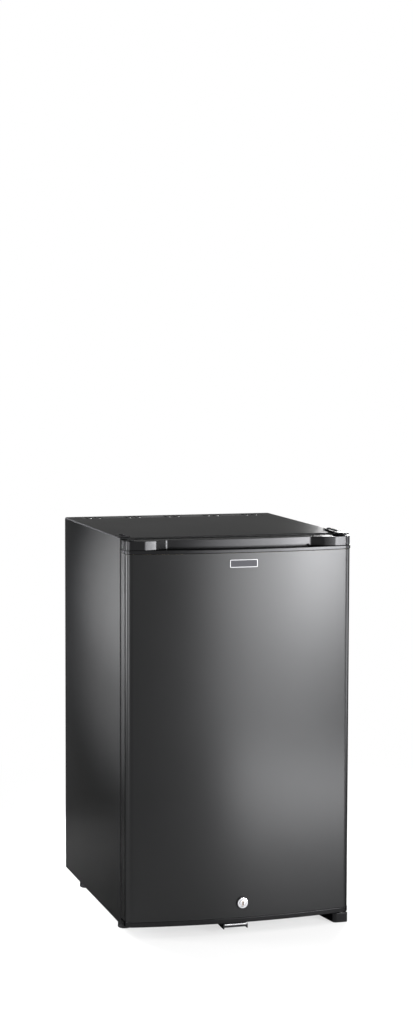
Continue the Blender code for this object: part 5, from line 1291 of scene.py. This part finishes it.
condenser = dict(endX=-150.0, startZ=622.0, endZ=608.0, feedZ=561.0, bend=22.0, fins=13, finPitch=12.5, finStart=-92.0,
                 finWidth=46.0, finHeight=44.0, finThick=0.8, finCorner=5.0)


def makeCondenser():
    casingX = (casing["low"][0] + casing["high"][0]) / 2
    y = unit["y"]
    corners = [(casingX, y, casing["high"][2] + 0.3), (casingX, y, condenser["startZ"]),
               (condenser["endX"], y, condenser["endZ"]), (condenser["endX"], y, condenser["feedZ"]),
               (condenser["endX"], unit["standoff"], condenser["feedZ"])]
    shape = pipeShape(bentPath(corners, condenser["bend"], 14), unit["pipe"], 28)
    slope = (condenser["startZ"] - condenser["endZ"]) / (casingX - condenser["endX"])
    fins = []
    for number in range(condenser["fins"]):
        x = condenser["finStart"] + number * condenser["finPitch"]
        z = condenser["endZ"] + slope * (x - condenser["endX"])
        wide, tall, corner = condenser["finWidth"] / 2, condenser["finHeight"] / 2, condenser["finCorner"]
        plan = []
        for cy, cz, start in ((wide - corner, tall - corner, 0), (corner - wide, tall - corner, 90),
                              (corner - wide, corner - tall, 180), (wide - corner, corner - tall, 270)):
            for step in range(5):
                angle = math.radians(start + 22.5 * step)
                plan.append((y + cy + corner * math.cos(angle), z + cz + corner * math.sin(angle)))
        fins.append(slab("fin", plan, x - condenser["finThick"] / 2, x + condenser["finThick"] / 2, pipeEnamel, 0.15, 1,
                         "X"))
        collar = [(7.0, 3.4), (7.7, 3.4), (8.0, 3.0), (8.3, 0.8), (9.4, 0.2), (9.4, 0), (7.0, 0)]
        fins.append(lathe("collar", collar, (x, y, z), (1, 0, 0), pipeEnamel, 24))
    fit(fromShape("condenserPipe", shape, pipeEnamel, 50), "cabinet", "black_steel", "condenser")
    fit(gather("condenserFins", fins), "cabinet", "black_steel")


coil = dict(leftX=-150.0, rightX=20.0, topZ=496.0, pitch=62.0, fall=4.0, runs=5, bend=26.0)
vessel = dict(leftX=-178.0, length=200.0, z=88.0, radius=29.6, dome=10.0)


def weldRing(name, place, direction, radius, width=1.5):
    # a rippled bead of weld round a pipe
    path = []
    turn = Vector(direction).to_track_quat("Z", "Y").to_matrix()
    for step in range(48):
        angle = 2 * math.pi * step / 48
        reach = radius + random.uniform(-0.2, 0.2)
        path.append(Vector(place) + turn @ Vector((reach * math.cos(angle), reach * math.sin(angle),
                                                   random.uniform(-0.25, 0.25))))
    return fromShape(name, pipeShape(path, width, 10, True), weldSteel, 60)


def makeAbsorber():
    y, top = unit["y"], coil["topZ"]
    corners = [(coil["rightX"], unit["standoff"], top), (coil["rightX"], y, top)]
    z, side = top, coil["rightX"]
    for run in range(coil["runs"]):
        other = coil["leftX"] if side == coil["rightX"] else coil["rightX"]
        corners.append((other, y, z - coil["fall"]))
        z -= coil["pitch"]
        if run < coil["runs"] - 1:
            corners.append((other, y, z))
        side = other
    vesselTop = vessel["z"] + vessel["radius"] + 0.3
    corners.append((side, y, vesselTop))
    fit(pipePiece("absorberCoil", bentPath(corners, coil["bend"], 14), unit["pipe"], pipeEnamel, 28), "cabinet",
        "black_steel", "absorber_coil")
    long, radius, dome = vessel["length"], vessel["radius"], vessel["dome"]
    profile = [(0, long)]
    for step in range(1, 11):
        angle = math.pi / 2 * step / 10
        profile.append((radius * math.sin(angle), long - dome + dome * math.cos(angle)))
    profile += [(reach, long - height) for reach, height in reversed(profile)]
    fit(lathe("solutionVessel", profile, (vessel["leftX"], y, vessel["z"]), (1, 0, 0), pipeEnamel, 72), "cabinet",
        "black_steel", "solution_vessel")
    beads = [weldRing("weld", (vessel["leftX"] + dome, y, vessel["z"]), (1, 0, 0), radius - 0.6),
             weldRing("weld", (vessel["leftX"] + long - dome, y, vessel["z"]), (1, 0, 0), radius - 0.6),
             weldRing("weld", (side, y, vesselTop - 0.6), (0, 0, 1), unit["pipe"] + 0.6),
             weldRing("weld", (vessel["leftX"] + long - 0.2, y, vessel["z"]), (1, 0, 0), 9.6)]
    fit(gather("unitWelds", beads), "cabinet", "black_steel")


exchanger = dict(radius=9.1, bend=21.0)
strap = dict(places=(-112.0, -20.0), half=9.0, foot=9.0, sheet=1.5, lowZ=166.0, highZ=516.0)


def makeExchangerAndStraps():
    y = unit["y"]
    casingX = (casing["low"][0] + casing["high"][0]) / 2
    corners = [(vessel["leftX"] + vessel["length"] + 0.3, y, vessel["z"]), (casingX, y, vessel["z"]),
               (casingX, y, casing["low"][2] - 0.3)]
    fit(pipePiece("heatExchanger", bentPath(corners, exchanger["bend"], 14), exchanger["radius"], pipeEnamel, 28),
        "cabinet", "black_steel", "heat_exchanger")
    low, high = unit["standoff"], y - unit["pipe"] - 0.3
    for x, sideName in zip(strap["places"], ("left", "right")):
        half, sheet = strap["half"], strap["sheet"]
        foot, inner, footTop = half + strap["foot"], half - sheet, low + sheet
        plan = [(x - foot, low), (x - inner, low), (x - inner, high - sheet), (x + inner, high - sheet), (x + inner, low),
                (x + foot, low), (x + foot, footTop), (x + half, footTop), (x + half, high), (x - half, high),
                (x - half, footTop), (x - foot, footTop)]
        fit(slab("unitStrap" + sideName.capitalize(), plan, strap["lowZ"], strap["highZ"], spangleZinc, 0.3, 2),
            "cabinet", "zinc_sheet", "unit_strap_" + sideName)
        screws = []
        for side in (-1, 1):
            for z in (strap["lowZ"] + 14, (strap["lowZ"] + strap["highZ"]) / 2, strap["highZ"] - 14):
                screws.append(screwHead("screw", (x + side * (half + 4.6), footTop, z), (0, 1, 0), 3.0, 1.5, screwZinc,
                                        z))
        fit(gather("strapScrews" + sideName.capitalize(), screws), "cabinet", "bright_steel")


terminal = dict(low=(118.0, 150.7, 408.0), high=(184.0, 188.7, 468.0), corner=3.0, lid=9.0, glandX=158.0, ribs=14)


def makeTerminalBox():
    low, high = terminal["low"], terminal["high"]
    box = boxPiece("terminalBox", low, high, blackPlastic, terminal["corner"], 5)
    seamY = high[1] - terminal["lid"]
    ring = boxPiece("ring", (low[0] - 5, seamY, low[2] - 5), (high[0] + 5, seamY + 0.9, high[2] + 5), blackPlastic, 0)
    core = boxPiece("core", (low[0] + 0.7, seamY - 5, low[2] + 0.7), (high[0] - 0.7, seamY + 5, high[2] - 0.7),
                    blackPlastic, 2.5, 4, "Y")
    cutters = [carve(ring, [core])]
    for number in range(5):
        z = low[2] + 20 + number * 5
        cutters.append(boxPiece("slot", (low[0] + 18, high[1] - 0.9, z), (high[0] - 18, high[1] + 5, z + 2), blackPlastic,
                                0.9, 3, "Y"))
    carve(box, cutters)
    fit(softEdges(box, 0.25, 2), "cabinet", "black_plastic", "terminal_box")
    screws = [screwHead("screw", (x, high[1], z), (0, 1, 0), 3.2, 1.4, screwZinc, x) for x, z in
              ((low[0] + 8, high[2] - 8), (high[0] - 8, low[2] + 8))]
    fit(gather("terminalScrews", screws), "cabinet", "bright_steel")
    glandY = (low[1] + high[1]) / 2
    profile = [(0, 0), (9.0, 0), (9.0, -2.2), (8.5, -2.5), (8.5, -3.1), (9.0, -3.4), (9.0, -8.6), (8.6, -9.0),
               (7.3, -9.0), (5.9, -17.4), (5.5, -18.0), (3.8, -18.0), (3.8, -9.0), (0, -9.0)]
    gland = lathe("cordGland", profile, (terminal["glandX"], glandY, low[2] - 0.3), (0, 0, 1), blackPlastic, 84)
    for vertex in gland.data.vertices:  # grip ribs round the nut
        flat = Vector((vertex.co.x - terminal["glandX"] * mm, vertex.co.y - glandY * mm))
        down = (low[2] - 0.3) * mm - vertex.co.z
        if 3.2 * mm < down < 8.8 * mm and flat.length > 8.2 * mm:
            wave = 0.985 + 0.015 * math.cos(terminal["ribs"] * math.atan2(flat.y, flat.x))
            vertex.co.x, vertex.co.y = terminal["glandX"] * mm + flat.x * wave, glandY * mm + flat.y * wave
    fit(gland, "cabinet", "black_plastic", "cord_gland")
    leadX = (casing["low"][0] + casing["high"][0]) / 2 - unit["pipe"] - 12
    leadY, leadZ = glandY - 6, low[2] + 33
    corners = [(low[0] - 0.3, leadY, leadZ), (leadX, leadY, leadZ), (leadX, leadY, casing["high"][2] + 0.3)]
    fit(pipePiece("heaterLead", bentPath(corners, 12, 10), 2.6, blackPlastic, 20), "cabinet", "black_plastic",
        "heater_lead")
    boot = [(2.7, 3.2), (3.6, 3.0), (4.4, 1.6), (4.8, 0), (2.7, 0)]
    fit(lathe("leadBoot", boot, (leadX, leadY, casing["high"][2]), (0, 0, 1), blackPlastic, 28), "cabinet",
        "black_plastic")


makeBackPanel()
makeBoilerCasing()
makeCondenser()
makeAbsorber()
makeExchangerAndStraps()
makeTerminalBox()
print("stage: cooling unit")

# frame nodes whose own shape is kept get a worked finish
nodeFinishes = dict(bottom_panel=spangleZinc, insulation_foam=foamFill, door_foam=foamFill)
for nodeName, material in nodeFinishes.items():
    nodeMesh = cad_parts[nodeName].data
    if nodeMesh.materials:
        for place in range(len(nodeMesh.materials)):
            nodeMesh.materials[place] = material
    else:
        nodeMesh.materials.append(material)
print("stage: node finishes")

# studio
studio = dict(worldFill=0.18, floorShare=0.4, softbox=50.0, frontPanel=18.0, nearPanel=8.0, lowStrip=4.5,
              rightPanel=24.0, leftPanel=12.0, leftLow=16.0, leftStrip=16.0, leftFront=7.5, rearPanel=28.0, top=14.0)


def aimedLight(name, place, target, size, power, shapeName="RECTANGLE"):
    lamp = bpy.data.lights.new(name, "AREA")
    lamp.shape = shapeName
    lamp.size, lamp.size_y = size
    lamp.energy = power
    holder = bpy.data.objects.new(name, lamp)
    holder.location = place
    holder.rotation_mode = "QUATERNION"
    holder.rotation_quaternion = (Vector(place) - Vector(target)).to_track_quat("Z", "Y")
    holder.visible_camera = False
    scene.collection.objects.link(holder)
    return holder


def seenDirectly(tree):
    # camera, glossy and transmission rays see the white background itself
    path = tree.nodes.new("ShaderNodeLightPath")
    first = tree.nodes.new("ShaderNodeMath")
    first.operation = "MAXIMUM"
    second = tree.nodes.new("ShaderNodeMath")
    second.operation = "MAXIMUM"
    linkUp(tree, [(path.outputs["Is Camera Ray"], first.inputs[0]), (path.outputs["Is Glossy Ray"], first.inputs[1]),
                  (first.outputs[0], second.inputs[0]), (path.outputs["Is Transmission Ray"], second.inputs[1])])
    return second.outputs[0]


def makeStudio():
    world = bpy.data.worlds.new("studioWorld")
    scene.world = world
    world.use_nodes = True
    tree = world.node_tree
    fill = tree.nodes["Background"]
    fill.inputs["Color"].default_value = (1, 1, 1, 1)
    fill.inputs["Strength"].default_value = studio["worldFill"]
    white = tree.nodes.new("ShaderNodeBackground")
    white.inputs["Color"].default_value = (1, 1, 1, 1)
    white.inputs["Strength"].default_value = 1.0
    mixer = tree.nodes.new("ShaderNodeMixShader")
    linkUp(tree, [(seenDirectly(tree), mixer.inputs[0]), (fill.outputs[0], mixer.inputs[1]),
                  (white.outputs[0], mixer.inputs[2]),
                  (mixer.outputs[0], tree.nodes["World Output"].inputs["Surface"])])
    mesh = bpy.data.meshes.new("studioFloor")
    shape = bmesh.new()
    bmesh.ops.create_circle(shape, cap_ends=True, segments=96, radius=9.0)
    shape.to_mesh(mesh)
    shape.free()
    floor = bpy.data.objects.new("studioFloor", mesh)
    scene.collection.objects.link(floor)
    material = bpy.data.materials.new("floorWhite")
    material.use_nodes = True
    tree = material.node_tree
    shader = tree.nodes["Principled BSDF"]
    shader.inputs["Base Color"].default_value = (0.86, 0.86, 0.86, 1)
    shader.inputs["Roughness"].default_value = 0.9
    shader.inputs["Specular IOR Level"].default_value = 0.1
    glow = tree.nodes.new("ShaderNodeEmission")
    glow.inputs["Strength"].default_value = 1.0
    coords = tree.nodes.new("ShaderNodeTexCoord")
    distance = tree.nodes.new("ShaderNodeVectorMath")
    distance.operation = "LENGTH"
    tree.links.new(coords.outputs["Object"], distance.inputs[0])
    near = spread(tree, distance.outputs["Value"], 1 - studio["floorShare"], 1.0, 0.45, 1.3)
    share = tree.nodes.new("ShaderNodeMath")
    share.operation = "MULTIPLY"
    mixer = tree.nodes.new("ShaderNodeMixShader")
    linkUp(tree, [(seenDirectly(tree), share.inputs[0]), (near, share.inputs[1]), (share.outputs[0], mixer.inputs[0]),
                  (shader.outputs[0], mixer.inputs[1]), (glow.outputs[0], mixer.inputs[2]),
                  (mixer.outputs[0], tree.nodes["Material Output"].inputs["Surface"])])
    mesh.materials.append(material)
    aimedLight("softbox", (1.31, -1.84, 0.62), (0.1, -0.24, 0.6), (0.56, 0.6), studio["softbox"])
    aimedLight("frontPanel", (0.91, -2.07, 0.5), (0.1, -0.24, 0.5), (0.5, 0.7), studio["frontPanel"])
    aimedLight("nearPanel", (0.52, -2.2, 0.45), (0.1, -0.24, 0.45), (0.4, 0.7), studio["nearPanel"])
    aimedLight("lowStrip", (0.55, -0.9, 0.08), (0.12, -0.24, 0.08), (0.8, 0.12), studio["lowStrip"])
    aimedLight("rightPanel", (1.8, -0.4, 0.37), (0.2, -0.22, 0.37), (0.9, 0.6), studio["rightPanel"])
    aimedLight("leftPanel", (-0.52, 0.7, 0.5), (-0.22, -0.12, 0.48), (0.34, 0.5), studio["leftPanel"], "ELLIPSE")
    aimedLight("leftLow", (-0.52, 0.72, 0.39), (-0.22, -0.12, 0.38), (0.34, 0.8), studio["leftLow"], "ELLIPSE")
    aimedLight("leftStrip", (-1.5, 0.3, 0.46), (-0.2, -0.22, 0.46), (0.34, 0.4), studio["leftStrip"])
    aimedLight("leftFront", (-1.53, -0.65, 0.42), (-0.2, -0.22, 0.42), (0.3, 0.5), studio["leftFront"])
    aimedLight("rearPanel", (0.9, 1.3, 0.95), (0.17, 0.0, 0.68), (0.4, 0.5), studio["rearPanel"])
    aimedLight("topPanel", (0.0, -0.2, 2.4), (0.0, 0.0, 0.3), (1.6, 1.6), studio["top"])


makeStudio()

view = dict(place=(-1.1281, -3.8449, 1.0476), yaw=-16.409, pitch=4.830, roll=0.172, lens=78.66)


def makeCamera():
    camera = bpy.data.cameras.new("photoCamera")
    camera.lens = view["lens"]
    camera.sensor_width = 36.0
    camera.clip_end = 100.0
    holder = bpy.data.objects.new("photoCamera", camera)
    scene.collection.objects.link(holder)
    holder.matrix_world = (Matrix.Translation(view["place"]) @ Matrix.Rotation(math.radians(view["yaw"]), 4, "Z")
                           @ Matrix.Rotation(math.radians(90 - view["pitch"]), 4, "X")
                           @ Matrix.Rotation(math.radians(view["roll"]), 4, "Z"))
    scene.camera = holder


makeCamera()
scene.view_settings.view_transform = "Standard"
print("stage: studio and camera")
